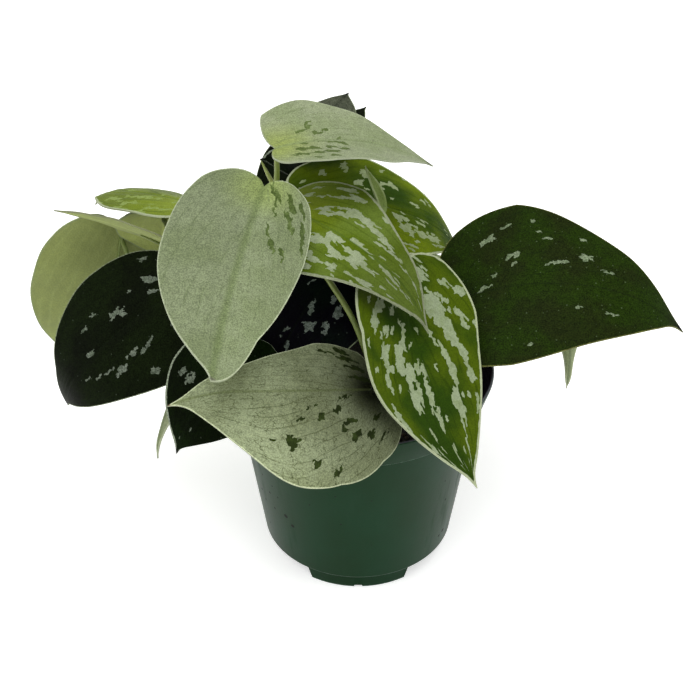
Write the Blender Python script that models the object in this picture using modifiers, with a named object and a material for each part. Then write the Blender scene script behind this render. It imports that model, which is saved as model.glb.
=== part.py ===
"""Potted satin pothos: five short vines with heart-shaped leaves in a green nursery pot.

Lengths are given in millimetres and angles in degrees, and are turned to metres when a mesh is
made. +Z is up, the viewer stands on the -Y side, and the origin is the middle of the pot's
underside. A leaf is described by where its blade joins the petiole, the way it points, and how
its blade arches, cups and tapers. A vine is a smooth line of nodes from which petioles grow.
"""
from dataclasses import dataclass
import math

import bmesh
import bpy
import numpy as np
from mathutils import Vector

MM = 0.001

# Pot, turned, with a straight band under its rim and a foot ring cut by arches for the drain
RIM_RADIUS = 56.0
POT_HEIGHT = 90.0
BAND_HEIGHT = 12.8
BAND_FOOT_RADIUS = 52.4
WALL_TOP_RADIUS = 50.8
WALL_FOOT_RADIUS = 41.2
WALL_THICKNESS = 1.5
FOOT_RADIUS = 37.7
FOOT_HEIGHT = 8.4
FOOT_WIDTH = 2.4
FLOOR_THICKNESS = 2.2
FLOOR_UNDERSIDE = 4.0
BOSS_RADIUS = 7.5
POT_STEPS = 60
DRAIN_ARCHES = 3
DRAIN_ARCH_SPAN = 58.0
DRAIN_ARCH_HEIGHT = 7.0
DRAIN_ARCH_STEPS = 9
FOOT_NOTCH_WIDTH = 3.5
FOOT_NOTCH_HEIGHT = 1.0
LIP_ROUND = 0.6
LEDGE_ROUND = 0.4
INNER_ROUND = 2.6

# Soil, a plug that fills the pot to below its band
SOIL_TOP = 77.0
SOIL_CROWN = 2.0
SOIL_DEPTH_BELOW_EDGE = 2.0
SOIL_STEPS = 36
HOLE_SIDES = 12
CLEARANCE = 0.3
STEM_DEPTH = 14.0

# Vines and petioles
STEM_RADIUS = 2.3
PETIOLE_RADIUS = 1.35
PETIOLE_TIP_RADIUS = 1.0
PETIOLE_POINTS = 9

# Leaf blades
BLADE_THICKNESS = 0.9
BLADE_ROWS = 11
BLADE_COLUMNS = 3
CUP_POWER = 1.7
VEIN_LEAN = 0.12
TIP_START = 0.7
WIDEST = 0.25

# Half of a heart-shaped blade, from the sinus at the petiole to the tip: along, across
HALF_OUTLINE = (
    (0.0, 0.0), (-0.050, 0.10), (-0.088, 0.27), (-0.088, 0.48), (-0.035, 0.74), (0.09, 0.94), (0.25, 1.0),
    (0.42, 0.945), (0.58, 0.79), (0.73, 0.55), (0.85, 0.30), (0.93, 0.125), (1.0, 0.0),
)


@dataclass(frozen=True)
class Leaf:
    """One blade with its petiole; side pairs are (left, right) seen from the petiole."""

    name: str
    vine: str
    node: int
    colour: str
    joint: tuple
    heading: float
    pitch: float
    roll: float
    length: float
    width: float
    arch: float = 5.0
    cup: tuple = (-2.0, -2.0)
    sweep: float = 0.0
    curl: float = 1.5
    lean: float = 0.0
    taper: tuple = (0.0, 0.0)
    lobe: tuple = (1.0, 1.0)
    rake: float = 0.55
    via: tuple = ()


# Each vine's nodes, from the soil's surface outwards
VINES = {
    "vine_top": ((-14, 26, SOIL_TOP), (-18, 28, 98), (-27, 31, 120), (-32, 29, 140)),
    "vine_left": ((-24, 8, SOIL_TOP), (-32, 12, 92), (-44, 18, 101), (-58, 28, 108)),
    "vine_centre": ((8, 20, SOIL_TOP), (9, 21, 97), (7, 24, 116)),
    "vine_right": ((24, 6, SOIL_TOP), (30, 10, 90), (40, 20, 99), (50, 26, 105)),
    "vine_back": ((2, 38, SOIL_TOP), (-3, 42, 96), (-8, 46, 114)),
}

# The leaves that show from the front, top to bottom, then the ones behind and the young ones
LEAVES = (
    Leaf("leaf_top_silver", "vine_top", 3, "silver", joint=(-32, 14, 180), heading=19, pitch=15, roll=-4,
         length=68, width=52, arch=6, cup=(3, 4), sweep=2, curl=0, lean=0.13, taper=(0.06, -0.14),
         lobe=(0.35, 0.5), rake=-0.2, via=((-33, 24, 155), (-32, 18, 168))),
    Leaf("leaf_front_silver", "vine_top", 3, "silver", joint=(-35, -11, 176), heading=-100, pitch=22, roll=15,
         length=91, width=51, arch=-1, cup=(-9, -5), sweep=-2, curl=-8, lean=-0.12, taper=(0.04, -0.05),
         lobe=(0.65, 0.65), via=((-37, 8, 162),)),
    Leaf("leaf_centre_patched", "vine_top", 3, "patched", joint=(-29, 12, 155), heading=-36, pitch=19,
         roll=-4, length=75, width=55, arch=9, cup=(3, -5), sweep=-2, curl=9, lean=-0.04, taper=(0.24, 0.27),
         lobe=(0.8, 1.0), via=((-29, 19, 147),)),
    Leaf("leaf_right_patched", "vine_centre", 2, "patched", joint=(15, -4, 134), heading=-64, pitch=42,
         roll=12, length=88, width=58, arch=4.5, cup=(1.5, 6.5), sweep=-6, curl=-1.5, lean=0.07,
         taper=(0.11, -0.23), via=((13, 10, 130),)),
    Leaf("leaf_rim_silver", "vine_top", 3, "silver", joint=(4, -44, 108), heading=199, pitch=-12, roll=19,
         length=76, width=57, arch=5, cup=(-10.5, -1), sweep=4, curl=8, lean=0.2, taper=(-0.17, 0.19),
         lobe=(1.7, 0.5), via=((-23, 13, 141), (-14, -4, 136), (-2, -20, 123), (5, -32, 106))),
    Leaf("leaf_right_dark", "vine_right", 1, "dark", joint=(39, 12, 113), heading=-3, pitch=5, roll=-27,
         length=97, width=77, arch=13, cup=(-3.5, -5.5), sweep=5.5, curl=6.5, lean=0.12, taper=(0.17, 0.1),
         lobe=(0.85, 1.0), via=((33, 12, 102),)),
    Leaf("leaf_left_dark", "vine_left", 2, "dark", joint=(-75, 8, 119), heading=-179, pitch=46, roll=52,
         length=79, width=58, arch=11, sweep=-1, curl=8, lean=0.05, taper=(0.14, -0.02),
         via=((-60, 14, 112),)),
    Leaf("leaf_left_back", "vine_left", 3, "pale", joint=(-104, 56, 122), heading=151, pitch=68, roll=-26,
         length=86, width=69, arch=-5, cup=(3, -2), lean=0.1, lobe=(1.2, 1.0), rake=-0.5,
         via=((-78, 44, 97), (-98, 53, 106))),
    Leaf("leaf_left_patched", "vine_left", 3, "patched", joint=(-66, 30, 148), heading=144, pitch=11, roll=-7,
         length=63, width=36, arch=3, cup=(-2, -8.5), sweep=3, curl=6, taper=(-0.17, -0.6), via=((-60, 31, 130),)),
    Leaf("leaf_left_edge", "vine_left", 3, "pale", joint=(-77, 27, 130), heading=177, pitch=-18, roll=-38,
         length=50, width=26, lean=0.15, arch=2, cup=(0, 0), curl=0, via=((-67, 28, 118),)),
    Leaf("leaf_left_hanging", "vine_left", 3, "pale", joint=(-82, 46, 135), heading=110, pitch=62, roll=-12,
         length=34, width=42, arch=2, lobe=(2.4, 1), via=((-71, 38, 122),)),
    Leaf("leaf_back_patched", "vine_back", 2, "patched", joint=(-20, 50, 140), heading=11, pitch=25, roll=-18,
         length=77, width=60, arch=10, curl=4, lean=0.05, taper=(0.04, 0), lobe=(1.25, 1), via=((-15, 49, 128),)),
    Leaf("leaf_centre_dark", "vine_centre", 2, "dark", joint=(-6, 10, 131), heading=-131, pitch=40, roll=12,
         length=64, width=51, arch=6, cup=(-3, -1), sweep=-2, taper=(-0.03, -0.07), via=((3, 19, 122),)),
    Leaf("leaf_low_dark", "vine_left", 1, "dark", joint=(-45, -22, 115), heading=-140, pitch=46, roll=19,
         length=51, width=42, cup=(-3.5, -2), curl=3, lean=0.06, taper=(-0.14, -0.08),
         via=((-48, 4, 99), (-50, -10, 109))),
    Leaf("leaf_top_back_dark", "vine_back", 2, "dark", joint=(-27, 84, 141), heading=-134, pitch=-24, roll=40,
         length=24, width=14, arch=1, cup=(-1, -1), curl=0.5, via=((-16, 68, 126), (-23, 84, 132))),
    Leaf("leaf_top_hanging_dark", "vine_back", 2, "dark", joint=(-21, 105, 141), heading=-160, pitch=30,
         roll=35, length=34, width=28, arch=2, cup=(-1, -1), lean=0.1,
         via=((-16, 68, 126), (-12, 84, 138), (-8, 104, 138))),
    Leaf("leaf_top_pointed", "vine_back", 2, "dark", joint=(-22, 65, 161), heading=60, pitch=-12, roll=0,
         length=37, width=32, arch=2, curl=-1, via=((-16, 68, 128), (-19, 82, 141), (-25, 74, 152))),
    Leaf("leaf_top_blunt", "vine_back", 2, "dark", joint=(-14, 74, 155), heading=50, pitch=-15, roll=0,
         length=29, width=20, arch=2, curl=-1, via=((-16, 68, 128), (-17, 84, 142), (-15, 80, 150))),
    Leaf("leaf_back_upper", "vine_back", 2, "dark", joint=(6, 84, 129), heading=82, pitch=40, roll=0,
         length=62, width=48, via=((0, 66, 121),)),
    Leaf("leaf_back_left", "vine_left", 2, "patched", joint=(-50, 60, 100), heading=138, pitch=44, roll=0,
         length=70, width=54, via=((-46, 40, 102),)),
    Leaf("leaf_back_centre", "vine_back", 2, "dark", joint=(-4, 66, 110), heading=95, pitch=44, roll=0,
         length=74, width=56, via=((-7, 56, 115),)),
    Leaf("leaf_back_low", "vine_back", 1, "silver", joint=(18, 62, 103), heading=66, pitch=40, roll=0,
         length=70, width=54, via=((9, 52, 104),)),
    Leaf("leaf_back_right", "vine_right", 2, "patched", joint=(44, 52, 104), heading=38, pitch=38, roll=0,
         length=72, width=54, via=((42, 38, 103),)),
    Leaf("leaf_right_hanging", "vine_right", 3, "pale", joint=(91, 26, 95), heading=-84, pitch=78, roll=0,
         length=33, width=10, arch=2, taper=(0.5, 0.5), via=((62, 26, 102), (80, 29, 102))),
    Leaf("leaf_low_hanging", "vine_left", 2, "pale", joint=(-76, 8, 74), heading=-146, pitch=66, roll=0,
         length=37, width=9, arch=2, taper=(0.4, 0.4), via=((-58, 16, 94), (-68, 12, 87))),
    Leaf("leaf_new_rolled", "vine_centre", 2, "pale", joint=(9, 20, 150), heading=163, pitch=-70, roll=0,
         length=20, width=8, arch=0, cup=(2, 2), curl=0, via=((9, 13, 133), (10, 16, 142))),
)

COLOURS = {
    "silver": (0.36, 0.42, 0.25, 1.0),
    "patched": (0.13, 0.22, 0.03, 1.0),
    "dark": (0.012, 0.03, 0.008, 1.0),
    "pale": (0.24, 0.30, 0.10, 1.0),
}


def unit(vector):
    """Return the vector at length one."""
    vector = np.asarray(vector, float)
    return vector / np.linalg.norm(vector)


def smooth_line(points, count):
    """Return count + 1 points on a Catmull-Rom line through the given points."""
    points = np.array(points, float)
    ends = (2 * points[0] - points[1], 2 * points[-1] - points[-2])
    points = np.vstack([ends[0], points, ends[1]])
    spans = len(points) - 3
    line = []
    for step in range(count + 1):
        place = step / count * spans
        first = min(int(place), spans - 1)
        t = place - first
        a, b, c, d = points[first:first + 4]
        bend = (2 * a - 5 * b + 4 * c - d) * t ** 2 + (3 * b - a - 3 * c + d) * t ** 3
        line.append(0.5 * (2 * b + (c - a) * t + bend))
    return np.array(line)


def leaf_axes(leaf):
    """Return the blade's unit vectors: along to the tip, across to the left, and out of its upper face."""
    heading, pitch, roll = (math.radians(a) for a in (leaf.heading, leaf.pitch, leaf.roll))
    flat = np.array([math.cos(heading), math.sin(heading), 0.0])
    along = flat * math.cos(pitch) - np.array([0, 0, math.sin(pitch)])
    level_out = flat * math.sin(pitch) + np.array([0, 0, math.cos(pitch)])
    level_left = np.cross(level_out, along)
    out = level_out * math.cos(roll) + level_left * math.sin(roll)
    left = level_left * math.cos(roll) - level_out * math.sin(roll)
    return along, left, out


def blade_point(leaf, axes, a, b):
    """Return the place in mm of a blade point, a along (1 at the tip) and b across (1 left, -1 right)."""
    along, left, out = axes
    side = 0 if b > 0 else 1
    half = leaf.width / 2 * (1 + leaf.lean * np.sign(b))
    half *= 1 - leaf.taper[side] * math.sin(math.pi * min(max((a - WIDEST) / (1 - WIDEST), 0), 1))
    if a < 0:
        a *= leaf.lobe[side]
    bow = 4 * a * (1 - a)
    across = b * half + leaf.sweep * bow
    height = leaf.arch * bow + leaf.cup[side] * abs(b) ** CUP_POWER
    height -= leaf.curl * max((a - TIP_START) / (1 - TIP_START), 0) ** 2
    return np.array(leaf.joint, float) + along * a * leaf.length + left * across + out * height


def vein_point(row, across, outline):
    """Return (along, across) on the lateral vein of a row, at 0 on the midrib and 1 on the margin."""
    start = np.array([VEIN_LEAN * row + (1 - VEIN_LEAN) * row ** 4, 0.0])
    end = outline[round(row * (len(outline) - 1))]
    bend = np.array([start[0] + 0.35 * (end[0] - start[0]), 0.6 * end[1]])
    return start * (1 - across) ** 2 + bend * 2 * across * (1 - across) + end * across ** 2


def material(name, colour, roughness):
    """Return a plain Principled material."""
    made = bpy.data.materials.new(name)
    made.use_nodes = True
    shader = made.node_tree.nodes["Principled BSDF"]
    shader.inputs["Base Color"].default_value = colour
    shader.inputs["Roughness"].default_value = roughness
    shader.inputs["Metallic"].default_value = 0.0
    return made


def add_leaf(leaf, home, paint):
    """Shape a grid into the leaf's blade: its rows follow the side veins, its poles are joint and tip."""
    bpy.ops.mesh.primitive_grid_add(x_subdivisions=2 * BLADE_COLUMNS, y_subdivisions=BLADE_ROWS, size=2)
    blade = bpy.context.object
    blade.name = leaf.name
    outline = smooth_line(HALF_OUTLINE, BLADE_ROWS * 8)
    axes = leaf_axes(leaf)
    for vertex in blade.data.vertices:
        across, row = vertex.co.x, (vertex.co.y + 1) / 2
        a, b = vein_point(row, abs(across), outline)
        vertex.co = Vector(blade_point(leaf, axes, a, -b * np.sign(across)) * MM)
    cage = bmesh.new()
    cage.from_mesh(blade.data)
    bmesh.ops.remove_doubles(cage, verts=cage.verts, dist=1e-6)
    bmesh.ops.recalc_face_normals(cage, faces=cage.faces)
    cage.to_mesh(blade.data)
    cage.free()
    blade.modifiers.new("Alike faces", "TRIANGULATE").quad_method = "FIXED"
    wall = blade.modifiers.new("Blade", "SOLIDIFY")
    wall.thickness = BLADE_THICKNESS * MM
    wall.offset = 0.0
    blade.data.shade_smooth()
    blade.data.materials.append(paint)
    move_to(blade, home)
    return blade


def move_to(thing, home):
    """Put an object in one collection only."""
    for old in thing.users_collection:
        old.objects.unlink(thing)
    home.objects.link(thing)


def add_tube(name, points, radii, home):
    """Make a closed tube mesh from a poly curve with filled caps, its radius set at each point."""
    curve = bpy.data.curves.new(name, "CURVE")
    curve.dimensions = "3D"
    curve.bevel_depth = MM
    curve.bevel_resolution = 1
    curve.use_fill_caps = True
    spline = curve.splines.new("POLY")
    spline.points.add(len(points) - 1)
    for control, point, radius in zip(spline.points, points, radii):
        control.co = (*(np.array(point) * MM), 1.0)
        control.radius = radius
    tube = bpy.data.objects.new(name, curve)
    home.objects.link(tube)
    graph = bpy.context.evaluated_depsgraph_get()
    mesh = bpy.data.meshes.new_from_object(tube.evaluated_get(graph))
    bpy.data.objects.remove(tube)
    solid = bmesh.new()
    solid.from_mesh(mesh)
    bmesh.ops.remove_doubles(solid, verts=solid.verts, dist=1e-6)
    bmesh.ops.recalc_face_normals(solid, faces=solid.faces)
    solid.to_mesh(mesh)
    solid.free()
    made = bpy.data.objects.new(name, mesh)
    home.objects.link(made)
    return made


def petiole_end(leaf):
    """Return where a petiole stops under its blade, just clear of it, and the way it arrives."""
    along, _, out = leaf_axes(leaf)
    arrive = unit(along * leaf.rake + out * 0.85)
    slant = math.sqrt(max(1 - float(arrive @ out) ** 2, 0))
    drop = BLADE_THICKNESS / 2 + CLEARANCE + PETIOLE_TIP_RADIUS * slant
    return np.array(leaf.joint, float) + along * 0.6 - out * drop, arrive


def petiole_line(leaf, start):
    """Return the petiole's points from its vine node to the blade."""
    end, arrive = petiole_end(leaf)
    start = np.array(start, float)
    reach = np.linalg.norm(end - start)
    if leaf.via:
        guides = [start, *leaf.via, end - arrive * 5, end]
    else:
        rise = start + np.array([0, 0, 0.35 * reach]) + 0.1 * (end - start)
        guides = [start, rise, end - arrive * min(0.3 * reach, 14), end]
    return smooth_line(guides, PETIOLE_POINTS)


def add_vine(name, home, paint):
    """Join a vine's stem and all its petioles into one solid."""
    nodes = [np.array(p, float) for p in VINES[name]]
    foot = nodes[0] - np.array([0, 0, STEM_DEPTH - CLEARANCE])
    low = nodes[0] + np.array([0, 0, 3.0])
    points = [foot, low, *smooth_line([low, *nodes[1:]], 3 * (len(nodes) - 1))[1:]]
    branches = bpy.data.collections.new(name + "_branches")
    bpy.context.scene.collection.children.link(branches)
    for leaf in LEAVES:
        if leaf.vine != name:
            continue
        line = petiole_line(leaf, nodes[leaf.node])
        slim = np.linspace(PETIOLE_RADIUS, PETIOLE_TIP_RADIUS, len(line))
        add_tube("petiole_" + leaf.name, line, slim, branches)
    stem = add_tube(name, points, [STEM_RADIUS] * len(points), home)
    union = stem.modifiers.new("Petioles", "BOOLEAN")
    union.operation = "UNION"
    union.operand_type = "COLLECTION"
    union.collection = branches
    union.solver = "EXACT"
    graph = bpy.context.evaluated_depsgraph_get()
    joined = bpy.data.meshes.new_from_object(stem.evaluated_get(graph))
    stem.modifiers.clear()
    stem.data = joined
    for branch in list(branches.objects):
        bpy.data.objects.remove(branch)
    bpy.data.collections.remove(branches)
    stem.data.shade_smooth()
    stem.data.materials.clear()
    stem.data.materials.append(paint)
    return stem


def turned(name, profile, steps, home):
    """Turn a profile of (radius, height) points about the pot's axis."""
    mesh = bpy.data.meshes.new(name)
    outline = bmesh.new()
    corners = [outline.verts.new((r * MM, 0, z * MM)) for r, z in profile]
    for first, second in zip(corners, corners[1:]):
        outline.edges.new((first, second))
    outline.to_mesh(mesh)
    outline.free()
    made = bpy.data.objects.new(name, mesh)
    home.objects.link(made)
    screw = made.modifiers.new("Turn", "SCREW")
    screw.steps = steps
    screw.render_steps = steps
    screw.use_merge_vertices = True
    screw.merge_threshold = 1e-6
    return made


def cut(target, cutter):
    """Cut one object from another and hide the cutter."""
    cutter.hide_render = True
    cutter.display_type = "WIRE"
    knife = target.modifiers.new("Cut " + cutter.name, "BOOLEAN")
    knife.operation = "DIFFERENCE"
    knife.object = cutter
    knife.solver = "EXACT"


def add_pot(home, cutters, paint):
    """Make the pot: band, tapered wall, floor, centre boss, and a foot ring cut by drain arches."""
    wall_top = POT_HEIGHT - BAND_HEIGHT
    floor_top = FLOOR_UNDERSIDE + FLOOR_THICKNESS
    rim_inner = RIM_RADIUS - WALL_THICKNESS
    inside = (
        (0, floor_top), (WALL_FOOT_RADIUS - 2 * INNER_ROUND, floor_top),
        (WALL_FOOT_RADIUS - INNER_ROUND, FOOT_HEIGHT + INNER_ROUND / 2),
        (WALL_FOOT_RADIUS - WALL_THICKNESS, FOOT_HEIGHT + INNER_ROUND),
        (WALL_TOP_RADIUS - WALL_THICKNESS, wall_top),
        (BAND_FOOT_RADIUS - WALL_THICKNESS, wall_top + WALL_THICKNESS),
        (rim_inner, POT_HEIGHT - 2 * LIP_ROUND), (rim_inner + LEDGE_ROUND, POT_HEIGHT - LIP_ROUND / 2),
    )
    outside = (
        (RIM_RADIUS - LIP_ROUND, POT_HEIGHT), (RIM_RADIUS, POT_HEIGHT - LIP_ROUND),
        (BAND_FOOT_RADIUS, wall_top + LEDGE_ROUND), (BAND_FOOT_RADIUS - LEDGE_ROUND, wall_top),
        (WALL_TOP_RADIUS, wall_top - LEDGE_ROUND / 2), (WALL_FOOT_RADIUS, FOOT_HEIGHT + LIP_ROUND),
        (WALL_FOOT_RADIUS - LEDGE_ROUND, FOOT_HEIGHT), (FOOT_RADIUS + LEDGE_ROUND, FOOT_HEIGHT - LEDGE_ROUND),
    )
    foot_inner = FOOT_RADIUS - FOOT_WIDTH
    underside = (
        (FOOT_RADIUS, 0), (foot_inner, 0), (foot_inner - LEDGE_ROUND, FLOOR_UNDERSIDE),
        (BOSS_RADIUS + LEDGE_ROUND, FLOOR_UNDERSIDE), (BOSS_RADIUS, 0), (0, 0),
    )
    profile = inside + outside + underside
    pot = turned("pot", profile, POT_STEPS, home)
    inner, reach = foot_inner - FOOT_WIDTH, 2 * RIM_RADIUS
    half_span = math.radians(DRAIN_ARCH_SPAN / 2)
    for index in range(DRAIN_ARCHES):
        middle = math.radians(-90 + 180 / DRAIN_ARCHES + 360 / DRAIN_ARCHES * index)
        corners = [(inner, turn) for turn in np.linspace(-half_span, half_span, DRAIN_ARCH_STEPS)]
        corners += [(reach, half_span), (reach, -half_span)]
        arch = [(r * math.cos(middle + turn), r * math.sin(middle + turn)) for r, turn in corners]
        slab = bpy.data.meshes.new(f"drain_arch_{index + 1}")
        plan = bmesh.new()
        face = plan.faces.new([plan.verts.new((x * MM, y * MM, -MM)) for x, y in arch])
        lift = bmesh.ops.extrude_face_region(plan, geom=[face])
        top = [item for item in lift["geom"] if isinstance(item, bmesh.types.BMVert)]
        bmesh.ops.translate(plan, verts=top, vec=(0, 0, (DRAIN_ARCH_HEIGHT + 1) * MM))
        bmesh.ops.recalc_face_normals(plan, faces=plan.faces)
        plan.to_mesh(slab)
        plan.free()
        cutter = bpy.data.objects.new(slab.name, slab)
        cutters.objects.link(cutter)
        cut(pot, cutter)
        foot = math.radians(-90 + 360 / DRAIN_ARCHES * index)
        middle_of_foot = Vector((math.cos(foot), math.sin(foot), 0)) * FOOT_RADIUS * MM
        bpy.ops.mesh.primitive_cube_add(size=MM, rotation=(0, 0, foot), location=middle_of_foot)
        notch = bpy.context.object
        notch.name = f"foot_notch_{index + 1}"
        notch.scale = (3 * FOOT_WIDTH, FOOT_NOTCH_WIDTH, 2 * FOOT_NOTCH_HEIGHT)
        move_to(notch, cutters)
        cut(pot, notch)
    pot.data.materials.append(paint)
    return pot


def add_soil(home, cutters, paint):
    """Make the plug of soil, slightly crowned, with a plain hole for every vine."""
    floor = FLOOR_UNDERSIDE + FLOOR_THICKNESS + CLEARANCE
    slope = (WALL_TOP_RADIUS - WALL_FOOT_RADIUS) / (POT_HEIGHT - BAND_HEIGHT - FOOT_HEIGHT)
    low, high = FOOT_HEIGHT + INNER_ROUND + CLEARANCE, SOIL_TOP - SOIL_DEPTH_BELOW_EDGE
    edge = WALL_FOOT_RADIUS - WALL_THICKNESS - 2 * CLEARANCE
    brim = edge + slope * (high - low)
    profile = (
        (0, SOIL_TOP + SOIL_CROWN), (0.4 * brim, SOIL_TOP + 0.8 * SOIL_CROWN), (0.75 * brim, SOIL_TOP),
        (brim - 2 * LIP_ROUND, high + LIP_ROUND), (brim, high - 2 * LIP_ROUND), (edge, low),
        (edge - 1.5 * INNER_ROUND, floor + LIP_ROUND), (edge - 2 * INNER_ROUND, floor), (0, floor),
    )
    soil = turned("soil", profile, SOIL_STEPS, home)
    for name, nodes in VINES.items():
        bpy.ops.mesh.primitive_cylinder_add(vertices=HOLE_SIDES, radius=(STEM_RADIUS + 2 * CLEARANCE) * MM,
                                            depth=2 * STEM_DEPTH * MM, location=Vector(nodes[0]) * MM)
        hole = bpy.context.object
        hole.name = name + "_hole"
        move_to(hole, cutters)
        cut(soil, hole)
    soil.data.materials.append(paint)
    return soil


def main():
    """Clear the scene and build the plant."""
    for old in list(bpy.data.objects):
        bpy.data.objects.remove(old)
    home = bpy.data.collections.new("potted_satin_pothos")
    cutters = bpy.data.collections.new("cutters")
    for collection in (home, cutters):
        bpy.context.scene.collection.children.link(collection)
    paints = {name: material("leaf_" + name, colour, 0.5) for name, colour in COLOURS.items()}
    add_pot(home, cutters, material("pot_plastic", (0.02, 0.06, 0.025, 1.0), 0.4))
    add_soil(home, cutters, material("potting_soil", (0.02, 0.014, 0.01, 1.0), 0.95))
    stem_green = material("stem_green", (0.25, 0.33, 0.08, 1.0), 0.5)
    for name in VINES:
        add_vine(name, home, stem_green)
    for leaf in LEAVES:
        add_leaf(leaf, home, paints[leaf.colour])


main()
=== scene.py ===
"""Looks of a potted satin pothos: veined blades, fleshy vines, a moulded pot and its potting mix.

Sizes are in millimetres and angles in degrees until a mesh is made, and every place is in the frame
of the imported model: +Z up, the viewer on the -Y side, the origin under the middle of the pot. A
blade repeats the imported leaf's formula on a finer grid and adds its midrib, side veins and margin.
"""

from collections.abc import Callable, Iterator, Sequence
from contextlib import contextmanager
from dataclasses import dataclass, field, replace
from enum import Enum
import logging
import math
import random

import bpy
from mathutils import Matrix, Vector
import numpy as np


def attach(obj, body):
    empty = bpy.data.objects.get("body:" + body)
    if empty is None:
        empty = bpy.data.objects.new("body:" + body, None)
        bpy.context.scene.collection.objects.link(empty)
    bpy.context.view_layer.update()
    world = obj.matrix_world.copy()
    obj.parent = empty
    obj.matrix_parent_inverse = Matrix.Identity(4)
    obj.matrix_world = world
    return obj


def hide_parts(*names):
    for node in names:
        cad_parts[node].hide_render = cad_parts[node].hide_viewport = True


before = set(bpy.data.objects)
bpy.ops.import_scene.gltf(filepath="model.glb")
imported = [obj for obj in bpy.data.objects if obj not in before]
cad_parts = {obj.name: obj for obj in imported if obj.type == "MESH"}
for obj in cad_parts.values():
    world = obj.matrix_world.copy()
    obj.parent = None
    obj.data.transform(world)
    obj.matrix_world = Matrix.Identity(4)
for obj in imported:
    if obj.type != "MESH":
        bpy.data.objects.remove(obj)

LOG = logging.getLogger("pothos")
MM = 0.001
BODY = "root"

Point = tuple[float, float, float]
Colour = tuple[float, float, float, float]
Socket = bpy.types.NodeSocket


class Slot(Enum):
    """The record's material slots."""

    POT = "pot"
    SOIL = "soil"
    STEM = "stem"
    SILVER = "leaf_silver"
    PATCHED = "leaf_patched"
    DARK = "leaf_dark"
    PALE = "leaf_pale"


# The studio's light is brighter than a screen's white, so every paint is held back by this much
PAINT_TRIM = 0.62


def paint(red: int, green: int, blue: int) -> Colour:
    """Turn a colour as it shows on screen into the paint that gives it in the studio's light.

    Args:
        red: Red, from 0 to 255.
        green: Green, from 0 to 255.
        blue: Blue, from 0 to 255.

    Returns:
        The colour with an alpha of one.
    """
    shares = (c / 255 for c in (red, green, blue))
    linear = ((s / 12.92) if s < 0.0405 else ((s + 0.055) / 1.055) ** 2.4 for s in shares)
    return (*(PAINT_TRIM * c for c in linear), 1.0)


def held_back(colour: Colour, share: float) -> Colour:
    """Return a colour darkened to a share of itself."""
    return (*(share * c for c in colour[:3]), 1.0)


def unit(vector: Sequence[float]) -> np.ndarray:
    """Return the vector at length one."""
    vector = np.asarray(vector, float)
    return vector / np.linalg.norm(vector)


def smooth_line(points: Sequence[Sequence[float]], count: int) -> np.ndarray:
    """Draw a Catmull-Rom line through some points.

    Args:
        points: The points that the line passes through.
        count: The number of steps along it.

    Returns:
        count + 1 points, evenly spaced in the line's parameter.
    """
    knots = np.array(points, float)
    knots = np.vstack([2 * knots[0] - knots[1], knots, 2 * knots[-1] - knots[-2]])
    spans = len(knots) - 3
    place = np.arange(count + 1) / count * spans
    first = np.minimum(place.astype(int), spans - 1)
    t = (place - first)[:, None]
    a, b, c, d = (knots[first + shift] for shift in range(4))
    curve = 2 * b + (c - a) * t + (2 * a - 5 * b + 4 * c - d) * t ** 2
    return 0.5 * (curve + (3 * b - a - 3 * c + d) * t ** 3)


def distance_to_line(points: np.ndarray, line: np.ndarray) -> np.ndarray:
    """Measure how far each point of the plane is from a polyline.

    Args:
        points: An array of (x, y) rows.
        line: The polyline's corners, as (x, y) rows.

    Returns:
        One distance for each point.
    """
    start, step = line[:-1], np.diff(line, axis=0)
    offset = points[:, None] - start[None]
    share = (offset * step).sum(-1) / np.maximum((step ** 2).sum(-1), 1e-12)
    nearest = offset - np.clip(share, 0, 1)[..., None] * step
    return np.sqrt((nearest ** 2).sum(-1)).min(axis=1)


def deselect_all() -> None:
    """Leave nothing selected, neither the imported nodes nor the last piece."""
    bpy.ops.object.select_all(action="DESELECT")


def pick(*things: bpy.types.Object) -> None:
    """Select only these objects, with the first one active.

    Args:
        things: The objects.
    """
    deselect_all()
    for thing in things:
        thing.select_set(True)
    bpy.context.view_layer.objects.active = things[0]


@contextmanager
def edit_mode(thing: bpy.types.Object) -> Iterator[None]:
    """Shape one object in edit mode, with all of it selected, and come back to object mode.

    Args:
        thing: The object.

    Yields:
        Nothing; the object is in edit mode until the block ends.
    """
    pick(thing)
    bpy.ops.object.mode_set(mode="EDIT")
    bpy.ops.mesh.select_all(action="SELECT")
    yield
    bpy.ops.object.mode_set(mode="OBJECT")


def apply_modifiers(thing: bpy.types.Object) -> None:
    """Apply every modifier of an object, first to last.

    Args:
        thing: The object.
    """
    pick(thing)
    for name in [modifier.name for modifier in thing.modifiers]:
        bpy.ops.object.modifier_apply(modifier=name)


def settle(thing: bpy.types.Object) -> None:
    """Put an object's place, turn and scale into its mesh."""
    pick(thing)
    bpy.ops.object.transform_apply(location=True, rotation=True, scale=True)


def close_up(thing: bpy.types.Object) -> None:
    """Merge doubled corners and turn all faces outwards.

    Args:
        thing: The object.
    """
    with edit_mode(thing):
        bpy.ops.mesh.remove_doubles(threshold=1e-6)
        bpy.ops.mesh.normals_make_consistent(inside=False)


def cut_away(thing: bpy.types.Object, cutter: bpy.types.Object) -> None:
    """Cut one solid out of another and drop the cutter.

    Args:
        thing: The solid that is cut.
        cutter: The solid that is taken away.
    """
    cut = thing.modifiers.new("Cut", "BOOLEAN")
    cut.operation, cut.solver, cut.object = "DIFFERENCE", "EXACT", cutter
    apply_modifiers(thing)
    bpy.data.objects.remove(cutter)


def smooth_by_angle(thing: bpy.types.Object, degrees: float) -> None:
    """Shade an object smooth, with edges sharper than the angle left crisp."""
    pick(thing)
    bpy.ops.object.shade_smooth_by_angle(angle=math.radians(degrees))


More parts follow.
